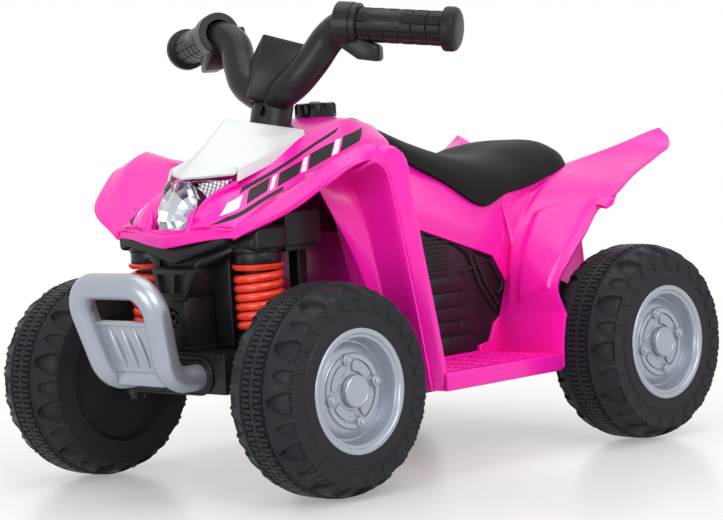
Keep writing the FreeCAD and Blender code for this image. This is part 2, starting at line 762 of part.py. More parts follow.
plate_face = Part.Face(polygon([leg_point(size.plate_low, 1), leg_point(size.plate_high, 1),
                                leg_point(size.plate_high, -1), leg_point(size.plate_low, -1)]))
plate = plate_face.extrude(Vector(-size.plate_thickness, 0, 0))
ribs = []
for place in (-1, 0, 1):
    low = (leg_point(size.plate_low + 6, 1) + leg_point(size.plate_low + 6, -1)) / 2
    high = (leg_point(size.plate_high - 6, 1) + leg_point(size.plate_high - 6, -1)) / 2
    shift = Vector(0, place * size.bumper_low_y * 0.42, 0)
    ribs.append(Part.makeCylinder(2.2, (high - low).Length, low + shift, high - low))
bridge = bar((size.bumper_low_x - 22, -size.bumper_low_y, size.bumper_low_z - 4),
             (size.bumper_low_x - 4, size.bumper_low_y, size.bumper_low_z + 2))
keep("bumper", featured("bumper", bumper_tube.multiFuse([plate, bridge] + ribs).removeSplitter()))


# Front cowl: nose, tank cover, front fenders and the leg shields
def half_section(x, points, drop):
    """A section across the bike, from (half width, height) pairs, lowest first."""
    near = [placed(x, max(y - drop, 0), z - drop) for y, z in points]
    far = [Vector(point.x, -point.y, point.z) for point in reversed(near[:-1])]
    return near + far


cowl_sections = [
    (236, [(77, 229), (74, 238), (42, 241), (0, 233)]),
    (208, [(78, 233), (74, 246), (47, 262), (0, 262)]),
    (185, [(76, 240), (72, 255), (48, 271), (0, 285)]),
    (150, [(74, 255), (70, 270), (48, 289), (0, 314)]),
    (100, [(72, 272), (66, 288), (44, 311), (0, 317)]),
    (45, [(72, 288), (64, 306), (46, 325), (0, 330)]),
    (5, [(64, 290), (56, 304), (38, 318), (0, 322)]),
]
cowl_outer = loft([half_section(x, points, 0) for x, points in cowl_sections])
inner_sections = []
for index, (x, points) in enumerate(cowl_sections):
    shift = {0: -size.skin, len(cowl_sections) - 1: size.skin}.get(index, 0)
    low = [(points[0][0], points[0][1] - 30)]
    inner_sections.append(half_section(x + shift, low + points[1:], size.skin))
cowl_inner = loft(inner_sections)
wing_top = placed(110, 171, 297)


def on_shield(y, z, inset=0.0):
    """A point of the leg shield, which leans forward from the footrest to the fender's back edge."""
    spot = placed(0, y, z)
    share = (spot.z - size.side_low) / (wing_top.z - size.side_low)
    return Vector(size.wing_low_x + (size.wing_top_x - size.wing_low_x) * share - inset, spot.y, spot.z)


shield_foot = Vector(size.wing_low_x, side_y, size.side_low)
shield_corner = Vector(size.wing_low_x, foot_y, size.side_low)
shield_outer = on_shield(0, 117) + Vector(0, foot_y, 0)
fender_rows = [
    [(226, 72, 236), (203, 69.5, 248), (175, 68.5, 260), (150, 68, 270), (122, 66, 281), (100, 65.5, 286),
     on_shield(76, 252, 6), on_shield(86, 205, 4), on_shield(92, 117, 1), shield_foot],
    [(228, 77, 236), (201, 106, 260), (175, 133, 283), (150, 144, 300), (125, 148, 309), (104, 150, 302),
     on_shield(111, 252, 2), on_shield(117, 205, 2), on_shield(121, 117, 1), (70, 122, 78)],
    [(229, 81, 232), (205, 139, 262), (180, 154, 279), (157, 164, 294), (129, 168, 305), wing_top,
     on_shield(172.5, 252), on_shield(174, 205), shield_outer, shield_corner],
]
arch_rows = [
    [(140, 88, 280), (129, 97, 251), (106, 104, 206), (93, 111, 164), (82, 118, 124)],
    [(104, 95, 289), on_shield(111, 252, 1), on_shield(117, 206, 1), on_shield(120, 164, 1),
     on_shield(121, 124)],
]
fender = thick_net(fender_rows, size.skin).fuse(thick_net(arch_rows, size.skin))
lens_low = placed(237.5, 0, 232)
lens_high = placed(217, 0, 277)
lens_up = (lens_high - lens_low).normalize()
lens_out = Vector(lens_up.z, 0, -lens_up.x)
lens_middle = (lens_low + lens_high) / 2
lens_rows = [[lens_low + Vector(1.5, 0, -2), lens_middle + lens_out * 4, lens_high],
             [lens_low + Vector(0, 27, 5), lens_middle + Vector(0, 31, 0) + lens_out,
              lens_high + Vector(-4, 20, 0)]]
lens_half = thick_net(lens_rows, size.lens_thickness)
lens = lens_half.fuse(mirrored(lens_half)).removeSplitter()
lamp_centre = lens_middle - lens_out * size.lens_thickness
lamp_pocket = Part.makeCylinder(size.lamp_radius + 1, 32, lamp_centre - lens_out * 28, lens_out)
neck_hole = Part.makeCylinder(size.neck_radius + 2.5, 60, on_column(-40), head_up)
cap_hole = Part.makeCylinder(8, 20, Vector(size.cap_x, 0, size.cap_low - 15))
cowl = cowl_outer.cut(cowl_inner)
cowl = cowl.multiFuse([fender, mirrored(fender)]).cut([lens, lamp_pocket, neck_hole, cap_hole])
keep("front_cowl", featured("front_cowl", cowl))


# Shield on the hood, headlight lens, lamp bowl and the two side reflectors
shield_near = [
    [(216, 0, 281), (180, 0, 309), (146, 0, 332)],
    [(203, 24, 281), (160, 30, 306), (116, 26, 322)],
    [(190, 46, 279), (145, 46, 299), (94, 38, 317)],
]
shield_half = thick_net(shield_near, size.skin)
hood_panel = shield_half.fuse(mirrored(shield_half)).removeSplitter()
keep("hood_panel", featured("hood_panel", hood_panel))
keep("headlight_lens", featured("headlight_lens", lens))
bowl_outer = Part.makeCone(9, size.lamp_radius - 4, 22, lamp_centre - lens_out * 23.3, lens_out)
bowl_inner = Part.makeCone(6, size.lamp_radius - 6.5, 20, lamp_centre - lens_out * 21.2, lens_out)
keep("lamp_bowl", featured("lamp_bowl", bowl_outer.cut(bowl_inner)))
glints = []
for sign in sides.values():
    corners = [placed(213, sign * 27, 272), placed(194, sign * 44, 271), placed(214, sign * 33, 258)]
    glints.append(Part.Face(polygon(corners)).extrude(Vector(4, sign * 2, 4)))
keep("side_reflectors", featured("side_reflectors", Part.makeCompound(glints)))


# Main body: side panels, footrests, rear fenders and the deck under the seat
seat_edge = [(-19, 53, 286), (-97, 86, 235), (-131, 86.5, 240), (-160, 85, 244.5), (-205, 78, 253),
             (-245, 67, 265)]
side_rows = [
    [on_shield(74, 262, 8), (32, 71, 284), seat_edge[0], seat_edge[1], seat_edge[2]],
    [on_shield(88, 212, 8), (30, 92, 236), (-20, 92, 229), (-97, 92, 201), (-132, 92, 168)],
    [shield_foot - Vector(1, 0, 0)] + [placed(x, 92, 78) for x in (30, -20, -97, -126)],
]
side_panel = thick_net(side_rows, size.skin)
engine_outline = [(22, 222), (5, 221), (-100, 187), (-120, 158), (-116, 132), (-98, 120), (-90, 103),
                  (-74, 101), (-74, 96), (22, 96)]
engine_face = Part.Face(polygon([beside(x, side_y - 8, z) for x, z in engine_outline]))
engine_opening = engine_face.extrude(Vector(0, 16, 0))
foot_outer = bar((size.foot_back, side_y - 1, size.foot_low), (size.foot_front, foot_y, size.foot_top))
foot_inner = bar((size.foot_back + size.skin, side_y - 2, size.foot_low - 1),
                 (size.foot_front - size.skin, foot_y - size.skin, size.foot_top - size.skin))
blade_inner = [beside(x, side_y - 1.5, z) for x, z in ((-106, 128), (-118, 158), (-126, 190))]
tail_tip = Vector(size.tail_x, 0, size.tail_z)
blade_rows = [
    blade_inner + seat_edge[2:] + [(-280, 108, 290), tail_tip + Vector(3, 133, -1)],
    [(-107, 108, 130), (-113, 106, 156), (-121, 103, 186), (-138, 97, 213), (-162, 91, 233), (-205, 84, 253),
     (-248, 78, 269), (-285, 119, 294), tail_tip + Vector(1, 137, 0)],
    [beside(-107, foot_y, 135), (-114, 160, 156), (-136, 160, 181), (-162, 160, 205), (-184, 161, 228),
     beside(-192, foot_y, 241), (-232, 166, 257), (-290, 156, 275), tail_tip + Vector(0, 154, -15)],
]
blade = thick_net(blade_rows, size.skin)
well_foot = Vector(size.foot_back + 2, 0, size.foot_low + 3)
well_rows = [
    [beside(-105, side_y - 1, 128), beside(-105, foot_y, 133)],
    [beside(-99, side_y - 1, 107), beside(-99, foot_y, 107)],
    [well_foot + Vector(0, side_y - 1, 0), well_foot + Vector(0, foot_y, 0)],
]
well_wall = thick_net(well_rows, size.skin)
deck_low = tray_top + 2 * size.part_clearance
deck_foot = Vector(size.tray_back + 2, size.tray_half_width - 4, deck_low)
deck_line = [placed(x, y - 1, z - 1.5) for x, y, z in seat_edge[2:]]
deck_line += [placed(-262, 62, 262), placed(-256, 80, 170), deck_foot]
deck_rows = [[Vector(point.x, point.y * side, point.z) for point in deck_line] for side in (1, 0, -1)]
deck = thick_net(deck_rows, -size.skin)
inner_line = [placed(-120, 91, 200)] + [placed(x, y - 1.5, z - 2) for x, y, z in seat_edge[2:]]
inner_foot = [Vector(point.x, size.tray_half_width - 0.5, deck_low) for point in inner_line]
inner_rows = [inner_line, inner_foot]
axle_gap = bar((rear_x - boss_half - 1, 0, 0), (rear_x + boss_half + 1, 200, axle_height + boss_half + 1))
inner_wall = thick_net(inner_rows, size.skin).cut(axle_gap)
bulkhead_top = placed(56, 0, 222)
bulkhead = bar((bulkhead_top.x, -side_y + 1, deck_low),
               (bulkhead_top.x + size.skin, side_y - 1, bulkhead_top.z))
foot_rest = foot_outer.cut(foot_inner)
half_body = side_panel.cut(engine_opening).multiFuse([foot_rest, blade, well_wall, inner_wall])
main_body = half_body.multiFuse([mirrored(half_body), deck, bulkhead]).removeSplitter()
socket_place = Vector(size.socket_x, -side_y, size.socket_z)
socket_hole = Part.makeCylinder(size.socket_radius, 40, socket_place + Vector(0, 20, 0), Vector(0, -1, 0))
bezel_length = size.rocker_length + 6
bezel_height = size.rocker_height + 6
switch_place = Vector(size.switch_x, -side_y, size.switch_z)


def switch_block(length, height, inner, outer):
    """A block across the right side panel, from inner to outer, measured outward from its face."""
    return bar((switch_place.x - length / 2, switch_place.y - outer, switch_place.z - height / 2),
               (switch_place.x + length / 2, switch_place.y - inner, switch_place.z + height / 2))


switch_hole = switch_block(bezel_length, bezel_height, -20, 20)
keep("main_body", featured("main_body", main_body.cut([socket_hole, switch_hole])))


# Moulded engine panels behind the openings of the side panels
panel_y = side_y - size.skin
panel_outline = [(26, 226), (5, 225), (-103, 190), (-124, 158), (-120, 128), (-100, 112), (-92, 94), (26, 94)]
panel_face = Part.Face(polygon([beside(x, panel_y - size.skin, z) for x, z in panel_outline]))
panel = panel_face.extrude(Vector(0, size.skin, 0))


def relief_bar(back, low, front, high, depth):
    """A raised field of the engine panel, from its outer face."""
    return bar(beside(back, panel_y - 1, low), beside(front, panel_y + depth, high))


relief = [relief_bar(-43.5, 152 + 6.5 * step, 2, 155 + 6.5 * step, 1.5) for step in range(8)]
relief += [relief_bar(-52, 118, 16, 146, 2.4), relief_bar(-70, 99, -8, 113, 1.8)]
pipe_high = beside(-28, panel_y, 205)
pipe_low = beside(-97, panel_y, 149)
relief.append(Part.makeCylinder(4, (pipe_low - pipe_high).Length, pipe_high, pipe_low - pipe_high))
panel = panel.multiFuse([piece.common(engine_opening) for piece in relief]).cut(half_body).removeSplitter()
keep("engine_panel_left", featured("engine_panel_left", panel))
keep("engine_panel_right", featured("engine_panel_right", mirrored(panel)))


# Seat: one hollow moulded saddle with a tongue up to the tank
def seat_section(x, crown, edge, rim, drop):
    near = [placed(x, rim[0] - drop, rim[1] - 4 * drop), placed(x, rim[0] - drop, rim[1] + 3),
            placed(x, edge[0] - drop, edge[1] - drop), placed(x, 0, crown - drop)]
    return near + [Vector(point.x, -point.y, point.z) for point in reversed(near[:-1])]


seat_stations = [
    (1, 325, (17, 322), (22, 312)),
    (-19, 314, (27, 310), (51, 286.3)),
    (-58, 295, (44, 290), (67.5, 261.8)),
    (-97, 282, (57, 276), (84, 236.2)),
    (-131, 279, (60, 272), (84.5, 240.3)),
    (-160, 280, (60, 273), (83, 244.8)),
    (-205, 288, (57, 282), (76, 253.3)),
    (-245, 289, (46, 283), (65, 265.3)),
    (-258, 281, (36, 275), (54, 265.3)),
]
seat_outer = loft([seat_section(*station, 0) for station in seat_stations])
seat_inner = loft([seat_section(*station, size.seat_wall) for station in seat_stations[1:-1]])
keep("seat", featured("seat", seat_outer.cut(seat_inner)))


# Fuel cap with the start button in its middle
cap_centre = Vector(size.cap_x, 0, size.cap_low)
cap = Part.makeCylinder(size.cap_radius, size.cap_height, cap_centre)
scallops = []
for step in range(8):
    turn = math.radians(22.5 + 45 * step)
    reach = size.cap_radius + 1.5
    at = cap_centre + Vector(reach * math.cos(turn), reach * math.sin(turn), 3)
    scallops.append(Part.makeCylinder(4, size.cap_height, at))
button_low = size.cap_low + size.cap_height - 9
well_low = Vector(size.cap_x, 0, button_low - size.start_travel - 1)
well = Part.makeCylinder(size.start_radius + size.part_clearance, 20, well_low)
keep("fuel_cap", featured("fuel_cap", cap.cut(scallops + [well])))
button = Part.makeCylinder(size.start_radius, 10.5, Vector(size.cap_x, 0, button_low))
button_rim = max(button.Edges, key=lambda edge: edge.BoundBox.ZMin)
keep("start_button", featured("start_button", button.makeFillet(1.4, [button_rim])))


# Handlebar, pad, grips and switch housings
bar_start = on_column(18)
rise = [Vector(bar_start.x - 3, size.bar_rise_y, size.bar_rise_z),
        Vector(bar_start.x - 9, size.bar_top_y, size.bar_top_z),
        Vector(size.bar_end_x, size.bar_end_y, size.bar_end_z)]
left_bar = tube(rounded_path([bar_start] + rise, size.bar_bend_radius), size.bar_radius)
neck = Part.makeCylinder(size.neck_radius, size.neck_length, on_column(-5), head_up)
column_hole = Part.makeCylinder(size.column_radius, size.column_top + 20, on_column(-20), head_up)
bars = neck.multiFuse([left_bar, mirrored(left_bar)]).cut(column_hole)
keep("handlebar", featured("handlebar", bars))
pad_low = size.bar_rise_z - 5
pad_high = pad_low + size.pad_height
pad_section = [(27, 0), (7, 19), (-13, 19), (-13, -19), (7, -19)]
pad_top = [(7, 0), (-1, 33), (-19, 33), (-19, -33), (-1, -33)]
pad = loft([[Vector(size.head_x + x, y, pad_low) for x, y in pad_section],
            [Vector(size.head_x + x, y, pad_high) for x, y in pad_top]])
keep("handlebar_pad", featured("handlebar_pad", pad.cut(bars)))
grip_axis = (rise[1] - rise[2]).normalize()
grip_end = rise[2]
housing_start = grip_end + grip_axis * size.grip_length
grip = ring(size.grip_radius, size.bar_radius, grip_end, size.grip_length, grip_axis)
grip_cap = Part.makeCylinder(size.grip_cap_radius, size.grip_cap_length, grip_end, grip_axis * -1)
grip_lip = ring(size.grip_cap_radius, size.bar_radius, grip_end, 3, grip_axis)
housing = Part.makeCylinder(size.housing_radius, size.housing_length, housing_start, grip_axis)
wedge = Part.makeBox(24, 22, 34, Vector(-12, -11, -34))
wedge.Placement = FreeCAD.Placement(housing_start + grip_axis * (size.housing_length / 2),
                                    FreeCAD.Rotation(Vector(0, 1, 0), grip_axis * -1))
bar_core = Part.makeCylinder(size.bar_radius, size.housing_length + 60, housing_start - grip_axis * 30,
                             grip_axis)
button_axis = Vector(-grip_axis.y, grip_axis.x, 0).normalize() * -1
button_at = housing_start + grip_axis * (size.housing_length / 2)
button_seat = size.housing_radius - 2 - size.button_travel
button_hole = Part.makeCylinder(size.button_radius + size.part_clearance, 20,
                                button_at + button_axis * (button_seat - size.part_clearance), button_axis)
for side, sign in sides.items():
    handle = grip.multiFuse([grip_cap, grip_lip]).removeSplitter()
    pod = housing.fuse(wedge).cut([bar_core, left_bar])
    if sign < 0:
        handle = mirrored(handle)
        pod = mirrored(pod.cut(button_hole))
    keep(f"grip_{side}", featured(f"grip_{side}", handle))
    keep(f"switch_housing_{side}", featured(f"switch_housing_{side}", pod))
thumb = Part.makeCylinder(size.button_radius, size.button_travel + 5,
                          button_at + button_axis * (button_seat + size.button_travel), button_axis)
keep("drive_button", featured("drive_button", mirrored(thumb)))


# Battery, charging socket and the drive: motor, gear train and its two-part case
battery_low = (size.battery_back, -size.battery_width / 2, floor_top)
battery = doc.addObject("Part::Box", "battery")
bind(battery, Width="Sizes.battery_width", Height="Sizes.battery_height")
battery.Length = (bulkhead_top.x - size.battery_back) * size.battery_share
battery.Placement.Base = Vector(*battery_low)
keep("battery", battery)
train = math.radians(size.train_angle)
train_way = Vector(math.cos(train), 0, math.sin(train))
train_side = Vector(-math.sin(train), 0, math.cos(train))
axle_point = Vector(rear_x, 0, axle_height)


def mesh_distance(teeth, other):
    return size.gear_module * (teeth + other) / 2


spots = {"drive": 0.0}
spots["second"] = mesh_distance(size.drive_teeth, size.last_pinion_teeth)
spots["first"] = spots["second"] + mesh_distance(size.middle_teeth, size.pinion_teeth)
spots["motor"] = spots["first"] + mesh_distance(size.middle_teeth, size.pinion_teeth)


def train_point(spot, y):
    return axle_point + train_way * spots[spot] + Vector(0, y, 0)


def gear(teeth, start, length, phase):
    """A spur gear with straight flanks and free backlash; phase turns its first tooth, in tooth pitches."""
    pitch = size.gear_module * teeth / 2
    top = pitch + 0.8 * size.gear_module
    root = pitch - 1.25 * size.gear_module
    step = 2 * math.pi / teeth
    points = []
    for tooth in range(int(teeth)):
        middle = (tooth + phase) * step + train
        for radius, share in ((root, -0.30), (top, -0.085), (top, 0.085), (root, 0.30)):
            angle = middle + share * step
            points.append(Vector(radius * math.cos(angle), 0, radius * math.sin(angle)) + start)
    return Part.Face(polygon(points)).extrude(Vector(0, length, 0))


first_y = case_inner + size.case_wall + 1.5
second_y = first_y + size.gear_width + 1.5
third_y = second_y + size.gear_width + 1.5
pin_clear = size.gear_pin_radius + size.running_clearance


def compound(spot, big_y, big_phase, small_teeth, small_y, small_phase):
    big = gear(size.middle_teeth, train_point(spot, big_y), size.gear_width, big_phase)
    small = gear(small_teeth, train_point(spot, small_y), size.gear_width + 1.5, small_phase)
    hub = Part.makeCylinder(size.gear_pin_radius + 1.2, small_y - big_y + size.gear_width,
                            train_point(spot, big_y), Vector(0, 1, 0))
    bore = Part.makeCylinder(pin_clear, 60, train_point(spot, big_y - 5), Vector(0, 1, 0))
    return big.multiFuse([small, hub]).cut(bore)


keep("motor_pinion", featured("motor_pinion", gear(
    size.pinion_teeth, train_point("motor", first_y), size.gear_width, 0.5)))
keep("first_gear", featured("first_gear", compound(
    "first", first_y, 0.0, size.pinion_teeth, second_y - 1.5, 0.5)))
keep("second_gear", featured("second_gear", compound(
    "second", second_y, 0.0, size.last_pinion_teeth, third_y - 1.5, 0.5)))
drive = gear(size.drive_teeth, train_point("drive", third_y), size.gear_width, 0.0)
drive_hub = Part.makeCylinder(size.hub_tube_radius + 2, wheel_inner - third_y, train_point("drive", third_y),
                              Vector(0, 1, 0))
drive_bore = Part.makeCylinder(size.axle_radius + size.running_clearance, 90,
                               train_point("drive", third_y - 5), Vector(0, 1, 0))
keep("drive_gear", featured("drive_gear", drive.fuse(drive_hub).cut(drive_bore)))
motor_start = first_y + size.gear_width + 1.5
motor = Part.makeCylinder(size.motor_radius, size.motor_length, train_point("motor", motor_start),
                          Vector(0, 1, 0))
keep("motor", featured("motor", motor))
pin_end = case_outer - size.case_wall
pins = [Part.makeCylinder(size.gear_pin_radius, pin_end - case_inner - size.case_wall,
                          train_point(spot, case_inner + size.case_wall), Vector(0, 1, 0))
        for spot in ("first", "second")]
keep("gear_pins", featured("gear_pins", Part.makeCompound(pins)))
big_half = size.gear_module * size.drive_teeth / 2 + 3.5
small_half = size.motor_radius + 3
far_end = spots["motor"] + small_half


def case_outline(grow, y):
    corners = [(-big_half, -big_half), (spots["first"], -big_half + 1), (far_end, -small_half),
               (far_end, small_half), (spots["first"], big_half - 1), (-big_half, big_half)]
    points = []
    for along, across in corners:
        along -= math.copysign(grow, along)
        across -= math.copysign(grow, across)
        points.append(axle_point + train_way * along + train_side * across + Vector(0, y, 0))
    return Part.Face(polygon(points))


case = case_outline(0, case_inner).extrude(Vector(0, case_outer - case_inner, 0))
hollow = case_outline(size.case_wall, case_inner + size.case_wall).extrude(
    Vector(0, case_outer - case_inner - 2 * size.case_wall, 0))
case_bore = Part.makeCylinder(size.axle_radius, 40, train_point("drive", case_inner - 10), Vector(0, 1, 0))
hub_hole = Part.makeCylinder(size.hub_tube_radius + 2 + size.part_clearance, 40,
                             train_point("drive", case_outer - 20), Vector(0, 1, 0))
case = case.cut([hollow, case_bore, hub_hole])
split_reach = 2 * far_end
below_split = bar((rear_x - split_reach, case_inner - 1, axle_height - split_reach),
                  (rear_x + split_reach, case_split, axle_height + split_reach))
keep("gearbox_base", featured("gearbox_base", case.common(below_split)))
keep("gearbox_cover", featured("gearbox_cover", case.cut(below_split)))


# Charging socket and direction switch on the right side panel
outward = Vector(0, -1, 0)
socket_back = socket_place - outward * (size.socket_depth + 4)
socket_body = Part.makeCylinder(size.socket_radius, size.socket_depth + 4, socket_back, outward)
socket_rim = Part.makeCylinder(size.socket_radius + 2.5, 1.5, socket_place, outward)
socket_bore = Part.makeCylinder(size.socket_bore, size.socket_depth + 3,
                                socket_place - outward * size.socket_depth, outward)
keep("charge_socket", featured("charge_socket", socket_body.fuse(socket_rim).cut(socket_bore)))
rocker_play = 2 * size.part_clearance
pocket = switch_block(size.rocker_length + 2 * rocker_play, size.rocker_height + rocker_play, -7, 3)
bezel_flange = switch_block(bezel_length + 4, bezel_height + 4, 0, 1.5)
bezel = switch_block(bezel_length, bezel_height, -9, 1.5).fuse(bezel_flange).cut(pocket)
pivot = switch_place + Vector(0, 1, 0)
pivot_low = pivot - Vector(0, 0, size.rocker_height / 2 + 1)
pivot_pin = Part.makeCylinder(1.2, size.rocker_height + 2, pivot_low)
keep("switch_bezel", featured("switch_bezel", bezel.fuse(pivot_pin)))
half_rocker = size.rocker_length / 2
rocker_outline = [(-half_rocker, 4), (half_rocker, 4), (half_rocker, -3.6), (0, -2), (-half_rocker, -3.6)]
rocker_low = size.switch_z - size.rocker_height / 2
rocker = Part.Face(polygon([Vector(pivot.x + x, pivot.y + y, rocker_low) for x, y in rocker_outline]))
rocker_bore = Part.makeCylinder(1.2 + size.running_clearance, size.rocker_height + 2, pivot_low)
rocker_solid = rocker.extrude(Vector(0, 0, size.rocker_height)).cut(rocker_bore)
keep("direction_switch", featured("direction_switch", rocker_solid))


# Checks before anything is written
doc.recompute()
for thing in doc.Objects:
    if "Invalid" in thing.State or "Error" in thing.State:
        raise RuntimeError(f"{thing.Label} did not build: {thing.State}")
for node, thing in nodes.items():
    if thing.Shape.isNull() or not thing.Shape.isValid():
        raise RuntimeError(f"{node} has no valid shape")
os.makedirs("parts", exist_ok=True)
for node, thing in nodes.items():
    thing.Shape.exportStep(f"parts/{node}.step")
print(f"{len(nodes)} nodes written")
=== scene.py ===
import math
import bpy
import numpy as np
from mathutils import Matrix, Vector


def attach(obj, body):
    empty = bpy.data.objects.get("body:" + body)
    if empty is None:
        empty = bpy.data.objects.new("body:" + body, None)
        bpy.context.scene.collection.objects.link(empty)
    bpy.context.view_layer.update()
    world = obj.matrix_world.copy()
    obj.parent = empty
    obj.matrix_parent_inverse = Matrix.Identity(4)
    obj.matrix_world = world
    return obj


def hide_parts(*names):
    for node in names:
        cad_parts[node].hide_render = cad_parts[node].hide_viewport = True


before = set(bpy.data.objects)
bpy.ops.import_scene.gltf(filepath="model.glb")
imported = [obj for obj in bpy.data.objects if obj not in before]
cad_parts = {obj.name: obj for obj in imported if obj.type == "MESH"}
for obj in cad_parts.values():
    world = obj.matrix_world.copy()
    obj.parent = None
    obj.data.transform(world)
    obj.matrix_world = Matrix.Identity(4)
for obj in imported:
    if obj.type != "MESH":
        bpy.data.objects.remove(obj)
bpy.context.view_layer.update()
mm = 0.001
fullTurn = 2 * math.pi
print("frame loaded:", len(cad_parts), "nodes")


# small helpers for the modelling, with lengths in millimetres

def clearSelection():
    if bpy.context.mode != "OBJECT":
        bpy.ops.object.mode_set(mode="OBJECT")
    bpy.ops.object.select_all(action="DESELECT")


def pick(piece):
    clearSelection()
    piece.select_set(True)
    bpy.context.view_layer.objects.active = piece
    return piece


def named(name):
    piece = bpy.context.object
    piece.name = name
    piece.data.name = name
    return piece


def finishWith(piece, kind, **settings):
    pick(piece)
    modifier = piece.modifiers.new(kind.lower(), kind)
    for key, value in settings.items():
        setattr(modifier, key, value)
    bpy.ops.object.modifier_apply(modifier=modifier.name)
    return piece


def edited(piece, *steps):  # each step works on the whole mesh
    pick(piece)
    bpy.ops.object.mode_set(mode="EDIT")
    for step, settings in steps:
        bpy.ops.mesh.select_all(action="SELECT")
        step(**settings)
    bpy.ops.object.mode_set(mode="OBJECT")
    return piece


def weld(reach):
    return bpy.ops.mesh.remove_doubles, {"threshold": reach}


def flatten(degrees):
    return bpy.ops.mesh.dissolve_limited, {"angle_limit": math.radians(degrees)}


outward = (bpy.ops.mesh.normals_make_consistent, {"inside": False})


def tidyMesh(piece, reach=0.00002):
    return edited(piece, weld(reach), outward)


def smooth(piece, angle=38):
    pick(piece)
    bpy.ops.object.shade_smooth_by_angle(angle=math.radians(angle))
    return piece


def bevelled(piece, width, segments=2, angle=35):
    return finishWith(piece, "BEVEL", width=width * mm, segments=segments, limit_method="ANGLE",
                      angle_limit=math.radians(angle), use_clamp_overlap=True)


def joined(name, *pieces):
    clearSelection()
    for piece in pieces:
        piece.select_set(True)
    bpy.context.view_layer.objects.active = pieces[0]
    if len(pieces) > 1:
        bpy.ops.object.join()
    return named(name)


def copyOf(piece, name):
    pick(piece)
    bpy.ops.object.duplicate()
    return named(name)


def mirroredCopy(piece, name):
    twin = copyOf(piece, name)
    twin.scale = (1, -1, 1)
    bpy.ops.object.transform_apply()
    return edited(twin, (bpy.ops.mesh.flip_normals, {}))


def flipped(point):
    return point[0], -point[1], point[2]


def bothSides(points):  # the points, then their mirror images
    return [*points, *(flipped(point) for point in points)]


def thereAndBack(points):  # the points, then their mirror images from the last to the first
    return [*points, *(flipped(point) for point in reversed(points))]


def mirroredRows(rows):  # rows from one side to the middle, then on to the other side
    return rows + [[flipped(point) for point in row] for row in reversed(rows[:-1])]


def shaped(piece, points):  # moves the vertices of a new primitive
    spots = np.array(points, float).reshape(-1) * mm
    piece.data.vertices.foreach_set("co", spots.astype(np.float32))
    piece.data.update()
    return piece


def gridOf(name, points):
    rows, columns = np.shape(points)[:2]
    clearSelection()
    bpy.ops.mesh.primitive_grid_add(x_subdivisions=columns - 1, y_subdivisions=rows - 1, size=1)
    return shaped(named(name), points)


def cornersOf(name, points, fill):
    clearSelection()
    bpy.ops.mesh.primitive_circle_add(vertices=len(points), fill_type=fill)
    return shaped(named(name), points)


def smoothLine(points, perRun, sharp=()):  # a soft line through all the points
    pts = np.asarray(points, float)
    last = len(pts) - 1
    runs = np.maximum(np.linalg.norm(np.diff(pts, axis=0), axis=1), 1e-6)
    lean = np.diff(pts, axis=0) / runs[:, None]

    def slope(k, run):
        if k in (0, last) or k in sharp:
            return lean[run]
        share = runs[k - 1] / (runs[k - 1] + runs[k])
        return lean[k - 1] * (1 - share) + lean[k] * share

    out = [pts[0]]
    for i in range(last):
        a, b = slope(i, i) * runs[i], slope(i + 1, i) * runs[i]
        for t in np.linspace(0, 1, perRun + 1)[1:]:
            h = (2 * t**3 - 3 * t**2 + 1, t**3 - 2 * t**2 + t, -2 * t**3 + 3 * t**2, t**3 - t**2)
            out.append(h[0] * pts[i] + h[1] * a + h[2] * pts[i + 1] + h[3] * b)
    return np.array(out)


def foldLine(points, perRun, fold):  # straight runs with a small round at each fold
    pts = np.asarray(points, float)
    last = len(pts) - 1
    out = []
    for i in range(last):
        start = pts[i] + (pts[i + 1] - pts[i]) * (fold if i else 0)
        end = pts[i + 1] - (pts[i + 1] - pts[i]) * (fold if i + 1 < last else 0)
        out += [start + (end - start) * t for t in np.linspace(0, 1, perRun + 1)]
        if i + 1 < last:
            after = pts[i + 1] + (pts[i + 2] - pts[i + 1]) * fold
            for t in (0.25, 0.5, 0.75):
                out.append((1 - t)**2 * end + 2 * t * (1 - t) * pts[i + 1] + t**2 * after)
    return np.array(out)


def skinOf(name, rows, wall=3.0, along=6, across=3, fold=0.12, sharp=(), soft=False, edge=0.9, side=-1,
           relief=None):  # a sheet through rows of points, with a wall and rounded edges
    lines = np.array([smoothLine(row, along, sharp) for row in rows])
    columns = [lines[:, k] for k in range(lines.shape[1])]
    net = np.array([smoothLine(column, across) if soft else foldLine(column, across, fold)
                    for column in columns])
    net = net.transpose(1, 0, 2)
    if relief:
        v = foldLine([[k] for k in range(len(rows))], across, fold)[:, 0]
        u = np.arange(net.shape[1]) / along
        out = np.cross(np.gradient(net, axis=1), np.gradient(net, axis=0))
        out = side * out / (np.linalg.norm(out, axis=2, keepdims=True) + 1e-9)
        net = net + out * relief(u[None, :], v[:, None])[..., None]
    piece = gridOf(name, net)
    finishWith(piece, "SOLIDIFY", thickness=wall * mm, offset=side, use_even_offset=False, use_rim=True)
    if edge:
        bevelled(piece, edge, 2, 60)
    return smooth(piece)


def ringWays(axis, turns):  # directions round an axis
    first = Vector((1, 0, 0)) if abs(axis.y) > 0.99 else axis.orthogonal().normalized()
    return np.outer(np.cos(turns), first) + np.outer(np.sin(turns), axis.cross(first))


def turned(name, profile, count, start, axis, phase=0.0):  # radii and heights, spun about an axis
    axis = Vector(axis).normalized()
    ways = ringWays(axis, np.linspace(0, fullTurn, count + 1) + phase)
    radii, heights = np.array(profile, float).T
    net = np.array(start, float) + heights[:, None, None] * np.array(axis)
    return smooth(tidyMesh(gridOf(name, net + radii[:, None, None] * ways)))


def boxOf(name, low, high, edge=0.8, segments=2):
    clearSelection()
    low, high = Vector(low), Vector(high)
    bpy.ops.mesh.primitive_cube_add(size=1, location=(low + high) / 2 * mm)
    piece = named(name)
    piece.scale = (high - low) * mm
    bpy.ops.object.transform_apply()
    return smooth(bevelled(piece, edge, segments))


